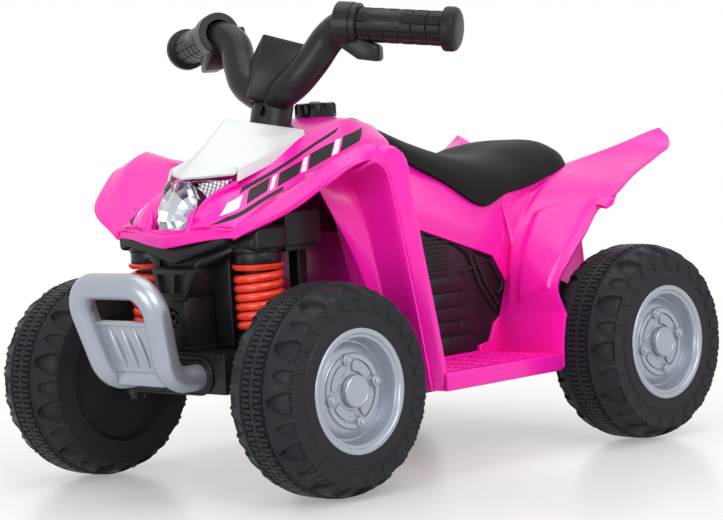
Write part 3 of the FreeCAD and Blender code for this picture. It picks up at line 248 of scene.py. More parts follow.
def plateOf(name, outline, thickness, edge=0.6):  # a flat outline in space, drawn out along a vector
    draw = (bpy.ops.mesh.extrude_region_move, {"TRANSFORM_OT_translate": {"value": Vector(thickness) * mm}})
    return smooth(bevelled(edited(cornersOf(name, outline, "NGON"), draw, outward), edge))


def hullOf(name, points, edge=1.0):  # the tight skin round a few corners
    wrap = (bpy.ops.mesh.convex_hull, {})
    return smooth(bevelled(edited(cornersOf(name, points, "NOTHING"), wrap, flatten(1.5), outward), edge))


def roundedPath(points, radius, steps=8):  # straight runs joined by arcs
    pts = [Vector(p) for p in points]
    out = [pts[0]]
    for before, corner, after in zip(pts, pts[1:], pts[2:]):
        back, ahead = (before - corner).normalized(), (after - corner).normalized()
        half = back.angle(ahead) / 2
        if half > math.radians(89):
            out.append(corner)
            continue
        reach = radius / math.tan(half)
        centre = corner + (back + ahead).normalized() * (radius / math.sin(half))
        arms = corner + back * reach - centre, corner + ahead * reach - centre
        sweep = math.pi - 2 * half
        for k in range(steps + 1):
            first, second = math.sin(sweep * (1 - k / steps)), math.sin(sweep * k / steps)
            out.append(centre + (arms[0] * first + arms[1] * second) / math.sin(sweep))
    return out + [pts[-1]]


def tubeOf(name, points, radius, sides=4, caps=True, radii=None):
    clearSelection()
    bpy.ops.curve.primitive_nurbs_path_add()
    curve = named(name).data
    curve.splines.clear()
    line = curve.splines.new("POLY")
    line.points.add(len(points) - 1)
    for k, (spot, point) in enumerate(zip(line.points, points)):
        spot.co = (*(Vector(point) * mm), 1)
        spot.radius = 1.0 if radii is None else radii[k]
    curve.bevel_depth = radius * mm
    curve.bevel_resolution = sides
    curve.use_fill_caps = caps
    pick(bpy.context.object)
    bpy.ops.object.convert(target="MESH")
    return smooth(tidyMesh(named(name)))


def cutBy(piece, tool):
    finishWith(piece, "BOOLEAN", operation="DIFFERENCE", solver="EXACT", object=tool)
    bpy.data.objects.remove(tool)
    return smooth(piece)


def rod(name, start, axis, radius, length, count=48):
    axis = Vector(axis).normalized()
    clearSelection()
    middle = (Vector(start) + axis * length / 2) * mm
    bpy.ops.mesh.primitive_cylinder_add(vertices=count, radius=radius * mm, depth=length * mm,
                                        location=middle, rotation=axis.to_track_quat("Z", "Y").to_euler())
    bpy.ops.object.transform_apply()
    return named(name)


def softCopy(node, name, edge, angle=30):  # a solid of the frame, with its edges rounded
    clearSelection()
    bpy.ops.mesh.primitive_cube_add(size=0.01)
    piece = named(name)
    piece.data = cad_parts[node].data.copy()
    piece.data.name = name
    piece.data.materials.clear()
    return smooth(bevelled(edited(piece, weld(0.00001), flatten(1.0)), edge, 2, angle))


def place(piece, look, body, slot, *nodes):
    piece.data.materials.clear()
    piece.data.materials.append(looks[look])
    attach(piece, body)
    if nodes:
        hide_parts(*nodes)
    return piece


def placePair(left, right, look, body, slot, node):
    place(left, look, body, slot, node + "_left")
    place(right, look, body, slot, node + "_right")


# finishes

def setInputs(node, values):
    for label, value in values.items():
        node.inputs[label].default_value = value


def nodeOf(tree, kind, values=None, **settings):  # values go to the inputs, settings to the node itself
    node = tree.nodes.new("ShaderNode" + kind)
    for key, value in settings.items():
        setattr(node, key, value)
    setInputs(node, values or {})
    return node


def link(source, output, target, entry):
    source.id_data.links.new(source.outputs[output], target.inputs[entry])


def newLook(name):
    look = bpy.data.materials.new(name)
    look.use_nodes = True
    return look, look.node_tree, look.node_tree.nodes["Principled BSDF"]


def newGroup(name, inputs, outputs):
    group = bpy.data.node_groups.new(name, "ShaderNodeTree")
    for way, sockets in (("INPUT", inputs), ("OUTPUT", outputs)):
        for label, default in sockets.items():
            kind = "NodeSocketColor" if isinstance(default, tuple) else "NodeSocketFloat"
            socket = group.interface.new_socket(name=label, in_out=way, socket_type=kind)
            socket.default_value = default
    return group, group.nodes.new("NodeGroupInput"), group.nodes.new("NodeGroupOutput")


def buildGrain():  # fine moulded texture for the bump
    group, given, gives = newGroup("mouldGrain", {"Scale": 900.0, "Coarse": 0.3}, {"Height": 0.0})
    spot = nodeOf(group, "TexCoord")
    fine = nodeOf(group, "TexNoise", {"Detail": 3})
    wide = nodeOf(group, "TexNoise", {"Scale": 28})
    mix = nodeOf(group, "Mix")
    link(spot, "Object", fine, "Vector")
    link(spot, "Object", wide, "Vector")
    link(given, "Scale", fine, "Scale")
    link(given, "Coarse", mix, "Factor")
    link(fine, "Fac", mix, "A")
    link(wide, "Fac", mix, "B")
    link(mix, "Result", gives, "Height")
    return group


white = (1, 1, 1, 1)
colourA, colourB, colourOut = 6, 7, 2  # sockets of a mix node that mixes colours


def buildDrift():  # slow change of tint and gloss over a moulding
    given = {"Tint": white, "Second": white, "Scale": 9.0, "Rough Low": 0.3, "Rough High": 0.4}
    group, given, gives = newGroup("tintDrift", given, {"Color": white, "Roughness": 0.0})
    spot = nodeOf(group, "TexCoord")
    noise = nodeOf(group, "TexNoise", {"Detail": 4})
    mix = nodeOf(group, "Mix", data_type="RGBA")
    span = nodeOf(group, "MapRange", {"From Min": 0.1, "From Max": 0.9})
    link(spot, "Object", noise, "Vector")
    link(given, "Scale", noise, "Scale")
    link(noise, "Fac", mix, "Factor")
    link(given, "Tint", mix, colourA)
    link(given, "Second", mix, colourB)
    link(noise, "Fac", span, "Value")
    link(given, "Rough Low", span, "To Min")
    link(given, "Rough High", span, "To Max")
    link(mix, colourOut, gives, "Color")
    link(span, "Result", gives, "Roughness")
    return group


grainGroup = buildGrain()
driftGroup = buildDrift()


def finish(name, tint, second, rough, grain, bump, coarse, drift, metallic=0.0, coat=0.0, specular=0.5):
    look, tree, shader = newLook(name)
    colour = nodeOf(tree, "Group", node_tree=driftGroup)
    setInputs(colour, {"Tint": (*tint, 1), "Second": (*second, 1), "Scale": drift, "Rough Low": rough[0],
                       "Rough High": rough[1]})
    texture = nodeOf(tree, "Group", {"Scale": grain, "Coarse": coarse}, node_tree=grainGroup)
    lift = nodeOf(tree, "Bump", {"Strength": bump, "Distance": 0.001})
    link(colour, "Color", shader, "Base Color")
    link(colour, "Roughness", shader, "Roughness")
    link(texture, "Height", lift, "Height")
    link(lift, "Normal", shader, "Normal")
    setInputs(shader, {"Metallic": metallic, "Coat Weight": coat, "Coat Roughness": 0.08,
                       "Specular IOR Level": specular})
    return look


# two tints, span of roughness, then grain, bump, share of coarse grain and drift of the tints
finishes = {
    "pinkGloss": [(0.93, 0.010, 0.43), (0.90, 0.008, 0.40), (0.22, 0.30), 700, 0.02, 0.5, 6],
    "whiteGloss": [(0.69, 0.72, 0.73), (0.65, 0.68, 0.69), (0.26, 0.34), 700, 0.02, 0.5, 6],
    "silverPaint": [(0.41, 0.44, 0.50), (0.35, 0.38, 0.44), (0.24, 0.32), 1600, 0.05, 0.2, 14],
    "frameBlack": [(0.010, 0.009, 0.011), (0.014, 0.013, 0.015), (0.26, 0.34), 900, 0.08, 0.2, 12],
    "gripBlack": [(0.012, 0.012, 0.014), (0.017, 0.017, 0.019), (0.30, 0.40), 1100, 0.10, 0.15, 14],
    "tyreBlack": [(0.019, 0.020, 0.025), (0.026, 0.027, 0.032), (0.30, 0.40), 800, 0.10, 0.2, 16],
    "seatBlack": [(0.009, 0.008, 0.009), (0.013, 0.012, 0.013), (0.44, 0.52), 1500, 0.22, 0.1, 10],
    "engineBlack": [(0.012, 0.009, 0.012), (0.018, 0.014, 0.018), (0.26, 0.36), 900, 0.10, 0.2, 14],
    "springOrange": [(0.90, 0.055, 0.020), (0.84, 0.045, 0.018), (0.22, 0.32), 800, 0.03, 0.3, 20],
    "greyButton": [(0.42, 0.42, 0.43), (0.37, 0.37, 0.38), (0.35, 0.42), 900, 0.04, 0.3, 20],
    "steelLook": [(0.55, 0.55, 0.57), (0.46, 0.46, 0.48), (0.25, 0.38), 1800, 0.05, 0.1, 30],
    "gearWhite": [(0.72, 0.70, 0.64), (0.66, 0.64, 0.58), (0.36, 0.46), 900, 0.05, 0.2, 20],
    "batteryGrey": [(0.05, 0.055, 0.065), (0.065, 0.07, 0.08), (0.4, 0.5), 900, 0.08, 0.2, 16],
    "stripeBlack": [(0.012, 0.010, 0.011), (0.018, 0.015, 0.016), (0.40, 0.48), 900, 0.02, 0.3, 12],
    "stripeWhite": [(0.82, 0.82, 0.84), (0.78, 0.78, 0.80), (0.24, 0.32), 900, 0.02, 0.3, 12],
    "bowlMirror": [(0.64, 0.65, 0.68), (0.50, 0.51, 0.54), (0.06, 0.12), 600, 0.02, 0.5, 20],
    "ribbedReflector": [(0.62, 0.63, 0.65), (0.55, 0.56, 0.59), (0.14, 0.22), 900, 0.02, 0.3, 30]}
metallics = {"silverPaint": 0.55, "steelLook": 1.0, "bowlMirror": 1.0, "ribbedReflector": 0.6}
coats = {"pinkGloss": 0.12, "whiteGloss": 0.15, "springOrange": 0.3}
speculars = {
    "pinkGloss": 0.42, "whiteGloss": 0.42, "frameBlack": 0.25, "gripBlack": 0.15, "tyreBlack": 0.10,
    "seatBlack": 0.07, "engineBlack": 0.30, "stripeBlack": 0.22}
looks = {name: finish(name, *row, metallics.get(name, 0.0), coats.get(name, 0.0), speculars.get(name, 0.5))
         for name, row in finishes.items()}
cover = {"tint": (0.97, 0.98, 1.0, 1), "bend": 1.18, "drift": 40, "rough": (0.015, 0.05)}
# dark: painted shade for the grooves between the ribs, mixed into the reflector's colour
reflectorRibsAndPaintedShade = {"ribs": 130, "dark": (0.13, 0.12, 0.13, 1), "bump": 0.5}


def clearLook():  # see-through cover of the headlight
    look, tree, shader = newLook("clearCover")
    setInputs(shader, {"Base Color": cover["tint"], "Transmission Weight": 1.0, "IOR": cover["bend"]})
    drift = nodeOf(tree, "Group", node_tree=driftGroup)
    low, high = cover["rough"]
    setInputs(drift, {"Scale": cover["drift"], "Rough Low": low, "Rough High": high})
    link(drift, "Roughness", shader, "Roughness")
    return look


def addRibsAndPaintedShade(tree):  # fine upright ribs on the bright reflector, with painted shade darkening the grooves between the ribs
    shader = tree.nodes["Principled BSDF"]
    tone = shader.inputs["Base Color"].links[0].from_node
    lift = shader.inputs["Normal"].links[0].from_node
    setInputs(lift, {"Strength": reflectorRibsAndPaintedShade["bump"]})
    spot = nodeOf(tree, "TexCoord")
    ribs = nodeOf(tree, "TexWave", {"Scale": reflectorRibsAndPaintedShade["ribs"]}, bands_direction="Y")
    # painted shade: the dark colour is laid where the ribs' wave is low, in the grooves
    shade = nodeOf(tree, "Mix", {colourA: reflectorRibsAndPaintedShade["dark"]}, data_type="RGBA")
    link(spot, "Object", ribs, "Vector")
    link(ribs, "Fac", lift, "Height")
    link(ribs, "Fac", shade, "Factor")
    link(tone, "Color", shade, colourB)
    link(shade, colourOut, shader, "Base Color")


looks["clearCover"] = clearLook()
addRibsAndPaintedShade(looks["ribbedReflector"].node_tree)
print("finishes ready")


# tyres: a rolled grid with arches, key grooves and small blocks
# places across the tread are shares of half its width

tyre = {
    "radius": 95.0, "width": 78.0, "pitches": 12, "perPitch": 50, "archApex": 0.45, "archHalf": 6.1,
    "archDepth": 5.4, "smallApex": 0.57, "smallHalf": 3.9, "smallDepth": 3.6, "archFull": 0.86,
    "bandDepth": 1.1, "ribAt": 0.385, "ribHalf": 0.03, "keySteps": 60, "keyBand": (0.065, 0.275),
    "keyDepth": 2.6, "keyHalf": 0.02, "keyCross": 0.06, "plainDepth": 0.3, "wallDepth": 1.3,
    "slotDepth": 0.9, "ribGroove": 0.065, "archCurve": 0.55, "archShallow": 0.35, "wallStep": (71, 8.5),
    "wallSlot": (0.72, 0.06), "slotFoot": 73,
    "shoulder": [
        (0.88, 0.012), (0.905, 0.035), (0.94, 0.1), (0.967, 0.18), (0.985, 0.26), (0.995, 0.33),
        (1.0, 0.4), (1.0, 0.5)],
    "inner": [
        (82, 77.6), (76, 78), (68, 78), (61, 78), (58, 73), (57, 70), (45, 70), (24, 70), (22, 71),
        (20, 78), (5.1, 78)]}
tyrePitch = 360 / tyre["pitches"]


def ramp(value, low, high):
    return np.clip((value - low) / (high - low), 0, 1)


def keySink(w, degrees):  # a groove that steps from side to side, and a straight one beside the rib
    phase = np.round(degrees * tyre["keySteps"] / 360, 4) % 1
    low, high = tyre["keyBand"]
    along = np.where(phase < 0.5, abs(w - high), abs(w - low)) < tyre["keyHalf"]
    cross = (phase < tyre["keyCross"]) | (np.abs(phase - 0.5) < tyre["keyCross"])
    if w > tyre["ribAt"] - tyre["ribGroove"]:
        return np.full(len(degrees), tyre["keyDepth"])
    return np.where(along | ((low <= w <= high) & cross), tyre["keyDepth"], tyre["plainDepth"])


def treadSink(w, degrees, shift):  # how deep the tread lies below its crown
    if w < tyre["ribAt"] - tyre["ribHalf"]:
        return keySink(w, degrees)
    sink, lip = np.zeros(len(degrees)), np.zeros(len(degrees))
    for size, turn in (("arch", tyrePitch / 2), ("small", 0)):
        away = np.abs((degrees + shift + turn) % tyrePitch - tyrePitch / 2)
        apex, half, deep = (tyre[size + part] for part in ("Apex", "Half", "Depth"))
        if w > apex:
            reach = half * min(1, ((w - apex) / (tyre["archFull"] - apex)) ** tyre["archCurve"])
            deepest = deep * (1 - tyre["archShallow"] * min(1, max(0, (w - apex) / (1 - apex))))
            sink = np.maximum(sink, deepest * (1 - ramp(away, reach - 0.5, reach + 0.25)))
            raised = ramp(away, reach - 0.3, reach) * (1 - ramp(away, reach + 1.2, reach + 1.7))
            lip = np.maximum(lip, raised)
    if w > tyre["ribAt"] + tyre["ribHalf"]:
        sink = np.maximum(sink, tyre["bandDepth"] * (1 - lip))
    return sink


def wallSink(radius, degrees):  # toothed step and slots on the outer wall
    half = tyrePitch / 2
    near = np.abs((degrees % half) / half - 0.5) * 2
    step, rise = tyre["wallStep"]
    slotAt, slotHalf = tyre["wallSlot"]
    edge = step + rise * np.clip((near - 0.45) / 0.2, 0, 1)
    slot = (np.abs(near - slotAt) < slotHalf) & (radius > tyre["slotFoot"])
    return np.where(slot, tyre["slotDepth"], np.where(radius < edge, tyre["wallDepth"], 0.0))


def tyrePiece(name):
    width = tyre["width"]
    shoulder = np.array(tyre["shoulder"])
    depths = np.concatenate([shoulder[:, 1], 1 - shoulder[-2::-1, 1]]) * width
    radii = np.concatenate([shoulder[:, 0], shoulder[-2::-1, 0]]) * tyre["radius"]
    outer = [(53, 6), (53, 1.6), (54, 1.6)] + [(q, 1.6) for q in np.linspace(57, 66, 4)]
    outer += [(q, 1.6 - 0.6 * (q - 68) / 15) for q in np.linspace(68, 83, 22)]
    tread = [(np.interp(d, depths, radii), d) for d in np.linspace(depths[0], depths[-1], 76)]
    profile = np.array(outer + tread + tyre["inner"])
    slopes = np.gradient(profile, axis=0)
    lengths = np.hypot(slopes[:, 0], slopes[:, 1]) + 1e-9
    angle = np.linspace(0, fullTurn, tyre["pitches"] * tyre["perPitch"] + 1)
    degrees = np.degrees(angle)
    net = []
    for k, ((radius, depth), slope, length) in enumerate(zip(profile, slopes, lengths)):
        across = (width / 2 - depth) / (width / 2)
        sink = np.zeros(len(angle))
        if len(outer) <= k < len(outer) + len(tread):
            sink = treadSink(abs(across), degrees, 0 if across > 0 else tyrePitch / 2)
        elif 66.5 < radius < 83.5 and k < len(outer):
            sink = wallSink(radius, degrees)
        rolled = radius - slope[1] / length * sink
        inset = np.clip(depth + slope[0] / length * sink, 0, width)
        net.append(np.stack([rolled * np.cos(angle), -inset, rolled * np.sin(angle)], axis=-1))
    return smooth(tidyMesh(gridOf(name, net), 0.00001), 32)


# rims: a turned barrel with bolts, plates, dots and a hub cap

rim = {
    "boltRing": 28.5, "boltTurns": (77, 169, 256, 349), "boltAt": -10.0, "plateInner": 17.5,
    "plateOuter": 26.5, "plateHalf": 31, "plateTurn": 45.5, "plateAt": -11.0, "plateWall": 1.6,
    "dotAt": -10.3, "dots": ((-0.55, 21.0), (0.0, 24.0), (0.55, 21.0)),
    "barrel": [
        (0.01, -4.2), (11.2, -4.2), (12.0, -3.9), (12.3, -3.5), (12.9, -3.5), (13.6, -4.0),
        (14.3, -4.6), (14.5, -5.4), (14.7, -11.6), (15.2, -11.9), (27.6, -11.9), (28.0, -11.4),
        (28.2, -10.2), (28.8, -10.0), (32.2, -10.0), (32.6, -10.4), (32.9, -11.6), (33.4, -12.2),
        (34.2, -12.4), (40.6, -15.2), (41.6, -16.2), (42.2, -16.6), (43.6, -16.4), (44.6, -15.0),
        (45.6, -9.0), (46.4, -4.6), (47.0, -3.4), (48.2, -3.0), (49.4, -2.8), (49.9, -1.6),
        (50.6, -0.6), (51.6, -0.2), (53.4, -0.2), (54.3, -0.5), (54.9, -1.1), (55.0, -1.6),
        (52.8, -1.6), (52.8, -5.2), (49.2, -6.4), (47.2, -17.0), (44.0, -19.4), (31.5, -19.4),
        (30.5, -12.6), (14.8, -12.6), (14.6, -26.0), (12.2, -26.0), (12.2, -6.6), (0.01, -6.6)],
    "bolt": [
        (0.01, 4.4), (2.4, 4.4), (3.0, 4.0), (3.2, 3.4), (3.2, 2.6), (4.4, 2.5), (4.9, 2.1), (5.1, 1.4),
        (5.2, -2.6), (0.01, -2.6)],
    "dot": [(0.01, 0.9), (0.8, 0.8), (1.2, 0.4), (1.3, -0.8)]}
axle = (0, 1, 0)


def onWheel(reach, depth, angle):
    return reach * math.cos(angle), depth, reach * math.sin(angle)


def rimPiece(name):
    pieces = [turned(name + "Barrel", rim["barrel"], 144, (0, 0, 0), axle)]
    half = math.radians(rim["plateHalf"])
    for k, turn in enumerate(rim["boltTurns"]):
        boltSpot = onWheel(rim["boltRing"], rim["boltAt"], math.radians(turn))
        pieces.append(turned(f"{name}Bolt{k}", rim["bolt"], 28, boltSpot, axle))
        middle = math.radians(turn + rim["plateTurn"])
        net = []
        for share in np.linspace(0, 1, 5):
            reach = rim["plateInner"] + (rim["plateOuter"] - rim["plateInner"]) * share
            squeeze = 1 - 0.28 * abs(share - 0.45)
            net.append([onWheel(reach, rim["plateAt"], middle + (a - middle) * squeeze)
                        for a in np.linspace(middle - half, middle + half, 17)])
        plate = gridOf(f"{name}Plate{k}", net)
        finishWith(plate, "SOLIDIFY", thickness=rim["plateWall"] * mm, offset=0)
        pieces.append(smooth(tidyMesh(bevelled(plate, 0.4))))
        for j, (share, reach) in enumerate(rim["dots"]):
            dotSpot = onWheel(reach, rim["dotAt"], middle + share * half)
            pieces.append(turned(f"{name}Dot{k}{j}", rim["dot"], 12, dotSpot, axle))
    return joined(name, *pieces)


wheelPlaces = {
    "front_left": (198, 196, 1), "front_right": (198, -196, -1), "rear_left": (-198, 227, 1),
    "rear_right": (-198, -227, -1)}
wheelLooks = {"tyre": ("tyreBlack", "tyre_plastic"), "rim": ("silverPaint", "silver_plastic")}
masters = {"tyre": tyrePiece("masterTyre"), "rim": rimPiece("masterRim")}
for spot, (axleX, face, hand) in wheelPlaces.items():
    for kind, (look, slot) in wheelLooks.items():
        name = kind + "".join(word.capitalize() for word in spot.split("_"))
        piece = copyOf(masters[kind], name) if hand > 0 else mirroredCopy(masters[kind], name)
        piece.data.transform(Matrix.Translation(Vector((axleX, face, tyre["radius"])) * mm))
        place(piece, look, "wheel_" + spot, slot, f"{kind}_{spot}")
for master in masters.values():
    bpy.data.objects.remove(master)
print("wheels modelled")


# hood, front fenders and leg shields

cowl = {
    "wall": 3.0, "bead": 1.5, "stepBead": 1.2,
    "nose": [(226, 77.5, 230.5), (226, 75, 237.5), (233.5, 42, 238.5), (240, 0, 231.8)],
    "stations": [
        (236, [(77, 229), (74, 238), (42, 241), (0, 233)]),
        (208, [(78, 233), (74, 246), (47, 262), (0, 262)]),
        (185, [(76, 240), (72, 255), (48, 271), (0, 285)]),
        (150, [(74, 255), (70, 270), (48, 289), (0, 314)]),
        (100, [(72, 272), (66, 288), (44, 311), (0, 317)]),
        (45, [(72, 288), (64, 306), (46, 325), (0, 330)]),
        (5, [(64, 290), (56, 304), (38, 318), (0, 322)])],
    "ridge": [
        (237, 44, 240.2), (208, 66, 250.4), (185, 71, 255.6), (150, 70, 270), (100, 66, 288),
        (45, 64, 306), (8, 56.5, 304.2)],
    "step": [(236, 60, 238.8), (226, 75, 237), (208, 76.4, 241), (185, 75, 248)],
    "lip": [
        [(223, 77, 237), (228, 52, 239), (234, 28, 236.5), (237, 12, 234), (238.5, 0, 232.5)],
        [(225, 78, 234), (231, 52, 234.5), (237.5, 28, 232.5), (240.5, 12, 231), (242, 0, 230)],
        [(226, 78, 229.5), (232, 52, 228), (237.5, 29, 225), (239.5, 12, 222.6), (240.5, 0, 221.5)]]}
lamp = {
    "out": (0.91, 0, 0.4146), "bowlAt": (221.5, 0, 256.0), "facets": 14, "rim": 2.4,
    "rows": [
        [(231, 24, 235), (228, 24, 242), (221, 24.6, 254), (209.5, 30, 266), (191, 45, 277)],
        [(236.5, 12.5, 234), (233, 12.5, 243), (227, 13, 255), (217, 15.5, 267), (205, 22, 279.5)],
        [(240, 0, 233), (236, 0, 243), (231, 0, 255), (225, 0, 267), (217, 0, 279)]],
    "post": [(236.5, 27, 228), (233.6, 27.4, 242), (229, 28, 255)],
    "postRadii": [3.6] * 6 + [3.5, 3.4, 3.3, 3.1, 2.8, 2.2, 1.2],
    "bowl": [
        (5.5, -18.5), (11, -16.0), (16.5, -11.5), (21.5, -5.5), (25.2, 1.5), (26, 1.5), (22.4, -6.5),
        (17.4, -12.8), (11.6, -17.6), (5.5, -20.5)],
    "bulb": [(0.01, -7), (2.6, -8), (4.2, -11), (4.6, -15), (4.6, -20), (0.01, -20)]}
lampOut = Vector(lamp["out"]).normalized()
headUp = Vector((-0.2588, 0, 0.9659))  # the steering axis
shield = {"footX": 70, "footZ": 78, "run": 40, "rise": 219}
fenders = {
    "inner": [
        (226, 72, 236), (203, 69.5, 248), (175, 68.5, 260), (150, 68, 270), (122, 66, 281),
        (100, 65.5, 286)],
    "ridge": [
        (228, 77, 236), (201, 106, 260), (175, 133, 283), (150, 144, 299), (125, 151, 306),
        (108, 166, 302)],
    "lower": [
        (230, 80, 229), (205, 139, 258), (180, 153, 276), (157, 162, 289), (133, 163, 292),
        (114, 160, 284)]}


def onShield(*spots):  # points by their distance behind the face of the leg shield, y and z
    return [(shield["footX"] + shield["run"] * (z - shield["footZ"]) / shield["rise"] - behind, y, z)
            for behind, y, z in spots]


def lampCutter(name, grow):  # the outline of the headlight, drawn through the hood
    side = [Vector((x, y + grow, z)) for x, y, z in lamp["rows"][0]]
    outline = [Vector(point) for point in thereAndBack(side)]
    outline = [point + lampOut * (272 - point.dot(lampOut)) for point in outline]
    return plateOf(name, outline, lampOut * 60, 0.02)


def hoodPiece():
    lines = [[(x, *points[k]) for x, points in cowl["stations"]] for k in range(4)]
    for line, nose in zip(lines, cowl["nose"]):
        x, y, z = line[-1]
        line.append((x - 2, y * 0.97, z - 42))
        line[0] = nose
    shell = skinOf("hoodShell", mirroredRows(lines), cowl["wall"], 7, 3, 0.05, sharp=(6,), side=1)
    cutBy(shell, lampCutter("lampHole", 0.6))
    return cutBy(shell, rod("neckHole", (111.4, 0, 286.4), headUp, 22, 60))


def noseParts():  # lip under the lamp, rim round it, the two posts at its foot and the beads of the hood
    rows = [row + [flipped(point) for point in reversed(row[:-1])] for row in cowl["lip"]]
    parts = [skinOf("noseLip", rows, 2.4, 5, 3, 0.22, sharp=(4,), side=1, edge=0.8)]
    edge = [tuple(Vector(point) + Vector((-0.6, 1.6, -0.4))) for point in lamp["rows"][0]]
    for piece in (tubeOf("lampRimLeft", smoothLine(edge, 7), lamp["rim"], 5),
                  tubeOf("lampPostLeft", smoothLine(lamp["post"], 6), 1.0, 6, radii=lamp["postRadii"]),
                  tubeOf("hoodRidge", smoothLine(cowl["ridge"], 8), cowl["bead"], 4),
                  tubeOf("hoodStep", smoothLine(cowl["step"], 8), cowl["stepBead"], 4)):
        parts += [piece, mirroredCopy(piece, piece.name + "Twin")]
    return parts


def fenderPiece(name):
    ridge = fenders["ridge"] + onShield((6, 168.5, 252), (6, 170, 205), (6, 172, 117), (6, 172, 78))
    shin = onShield((-0.5, 159.5, 252), (-0.5, 161, 205), (-0.5, 163, 117), (-0.5, 163, 78))
    lower = fenders["lower"] + shin
    under = [(x - 2, y - 3, z - 1.5) for x, y, z in lower[:6]] + [(x - 3, y - 2, z) for x, y, z in lower[6:]]
    back = [(x - 2, y + 0.5, z - 3) for x, y, z in ridge[:4]]
    back += [(x - 4, y, z - 2.5) for x, y, z in ridge[4:6]]
    back += [(x - 6, y - 0.5, z) for x, y, z in ridge[6:]]
    band = skinOf(name, [under, lower, ridge, back], 2.6, 7, 4, 0.10, edge=0.7)
    ledge = skinOf(name + "Ledge", [fenders["ridge"], fenders["inner"]], cowl["wall"], 7, 3, edge=0.6)
    middle = onShield((2, 111, 252), (2, 117, 205), (1, 121, 117), (0, 122, 78))
    far = onShield((6, 70, 252), (4, 79, 205), (2, 84, 117), (0.5, 84, 78))
    face = skinOf(name + "Face", [
        [(140, 150, 284), *lower[4:]], [(138, 112, 284), (118, 117, 290), (108, 114, 284), *middle],
        [(136, 70, 274), (116, 68, 279), (100, 66, 272), *far]], cowl["wall"], 6, 4, 0.15, edge=0.6)
    arch = skinOf(name + "Arch", [
        [(104, 95, 289), *onShield((1, 111, 252), (1, 117, 206), (1, 120, 164), (0, 121, 124))],
        [(140, 88, 280), (129, 97, 251), (106, 104, 206), (93, 111, 164), (82, 118, 124)]],
        cowl["wall"], 6, 3)
    return joined(name, band, ledge, face, arch)


hood = hoodPiece()
hoodSurface = copyOf(hood, "hoodSurface")
fender = fenderPiece("fenderLeft")
cowlParts = [hood, fender, mirroredCopy(fender, "fenderRight"), *noseParts()]
place(joined("frontCowl", *cowlParts), "pinkGloss", "chassis", "body_plastic", "front_cowl")

hoodPanel = {
    "wall": 2.6,
    "rows": [
        [(190.6, 46, 277.5), (160, 47.8, 287.5), (128, 45.3, 298.5), (96.6, 40, 310)],
        [(187.5, 44.4, 288.6), (157, 46, 297.6), (126, 43.6, 306.6), (96, 38.8, 314.5)],
        [(189.5, 42, 283.6), (158, 43, 295.2), (127, 41.2, 304.8), (95.8, 38.2, 315)],
        [(206, 15, 281.6), (176, 32, 292.8), (140, 39.5, 304.2), (95.4, 37.6, 316)],
        [(214, 3, 281.6), (184, 17, 299), (150, 30.5, 310.6), (94.2, 36, 318.2)],
        [(216, 0, 281), (192, 0, 302), (173, 0, 319), (157, 0, 332.8)]]}
panel = skinOf("hoodPanel", mirroredRows(hoodPanel["rows"]), hoodPanel["wall"], 5, 3, 0.06, side=1, edge=0.7)
place(panel, "whiteGloss", "chassis", "white_plastic", "hood_panel")
print("hood and fenders modelled")


# stripes on the sides of the hood, with corners in x and z

stripes = {
    "lift": 0.45, "wall": 0.3,
    "dark": [
        [(196, 267), (70, 316), (62, 321), (187, 273)],
        [(199, 258), (173, 268), (160, 280), (185, 270)],
        [(162, 271), (134, 281), (120, 293), (150, 283)],
        [(122, 284), (91, 294), (77, 308), (108, 298)], [(79, 298), (51, 307), (33, 319), (65, 312)],
        [(233, 241), (160, 268), (155, 272), (221, 248)]],
    "light": [
        [(223, 249), (208, 255), (194, 266), (211, 260)],
        [(171, 268), (166, 270), (153, 282), (158, 280)],
        [(131, 282), (125, 283), (112, 296), (118, 294)], [(89, 295), (82, 297), (69, 310), (75, 309)]]}


def stripePiece(name, corners):
    a, b, c, d = [np.array((x, 120.0, z)) for x, z in corners]
    net = [[(a * (1 - s) + b * s) * (1 - t) + (d * (1 - s) + c * s) * t for s in np.linspace(0, 1, 17)]
           for t in np.linspace(0, 1, 6)]
    piece = gridOf(name, net)
    finishWith(piece, "SHRINKWRAP", target=hoodSurface, wrap_method="PROJECT", use_project_y=True,
               use_negative_direction=True, use_positive_direction=False, offset=stripes["lift"] * mm)
    finishWith(piece, "SOLIDIFY", thickness=stripes["wall"] * mm, offset=0)
    return smooth(tidyMesh(piece))


stripeLooks = {"dark": ("stripeBlack", "black_plastic"), "light": ("stripeWhite", "white_plastic")}
for tone, (look, slot) in stripeLooks.items():
    strips = [stripePiece(f"{tone}Stripe{k}", corners) for k, corners in enumerate(stripes[tone])]
    left = joined(tone + "StripesLeft", *strips)
    for piece in (left, mirroredCopy(left, tone + "StripesRight")):
        place(piece, look, "chassis", slot)
bpy.data.objects.remove(hoodSurface)
print("stripes laid")


# headlight

lampCover = skinOf("headlightCover", mirroredRows(lamp["rows"]), 1.4, 6, 6, soft=True, side=1, edge=0.3)
place(lampCover, "clearCover", "chassis", "clear_plastic", "headlight_lens")
bowl = turned("lampBowl", lamp["bowl"], lamp["facets"], lamp["bowlAt"], lampOut, 0.12)
pick(bowl)
bpy.ops.object.shade_flat()
bulb = turned("lampBulb", lamp["bulb"], 24, lamp["bowlAt"], lampOut)
sunkRows = [[tuple(Vector(point) - lampOut * 13) for point in row] for row in lamp["rows"]]
tray = skinOf("lampTray", mirroredRows(sunkRows), 1.2, 4, 4, soft=True, side=1, edge=0)
cutBy(tray, rod("trayHole", Vector(lamp["bowlAt"]) - lampOut * 40, lampOut, 24, 60))
place(joined("lampBowl", bowl, bulb, tray), "bowlMirror", "chassis", "lamp_mirror", "lamp_bowl")
glint = {
    "corners": [(216, 22.5, 278), (193, 42.5, 280), (213, 31, 263)], "wall": (-2.4, -0.8, -1.6),
    "ribs": 12, "rib": 0.55}


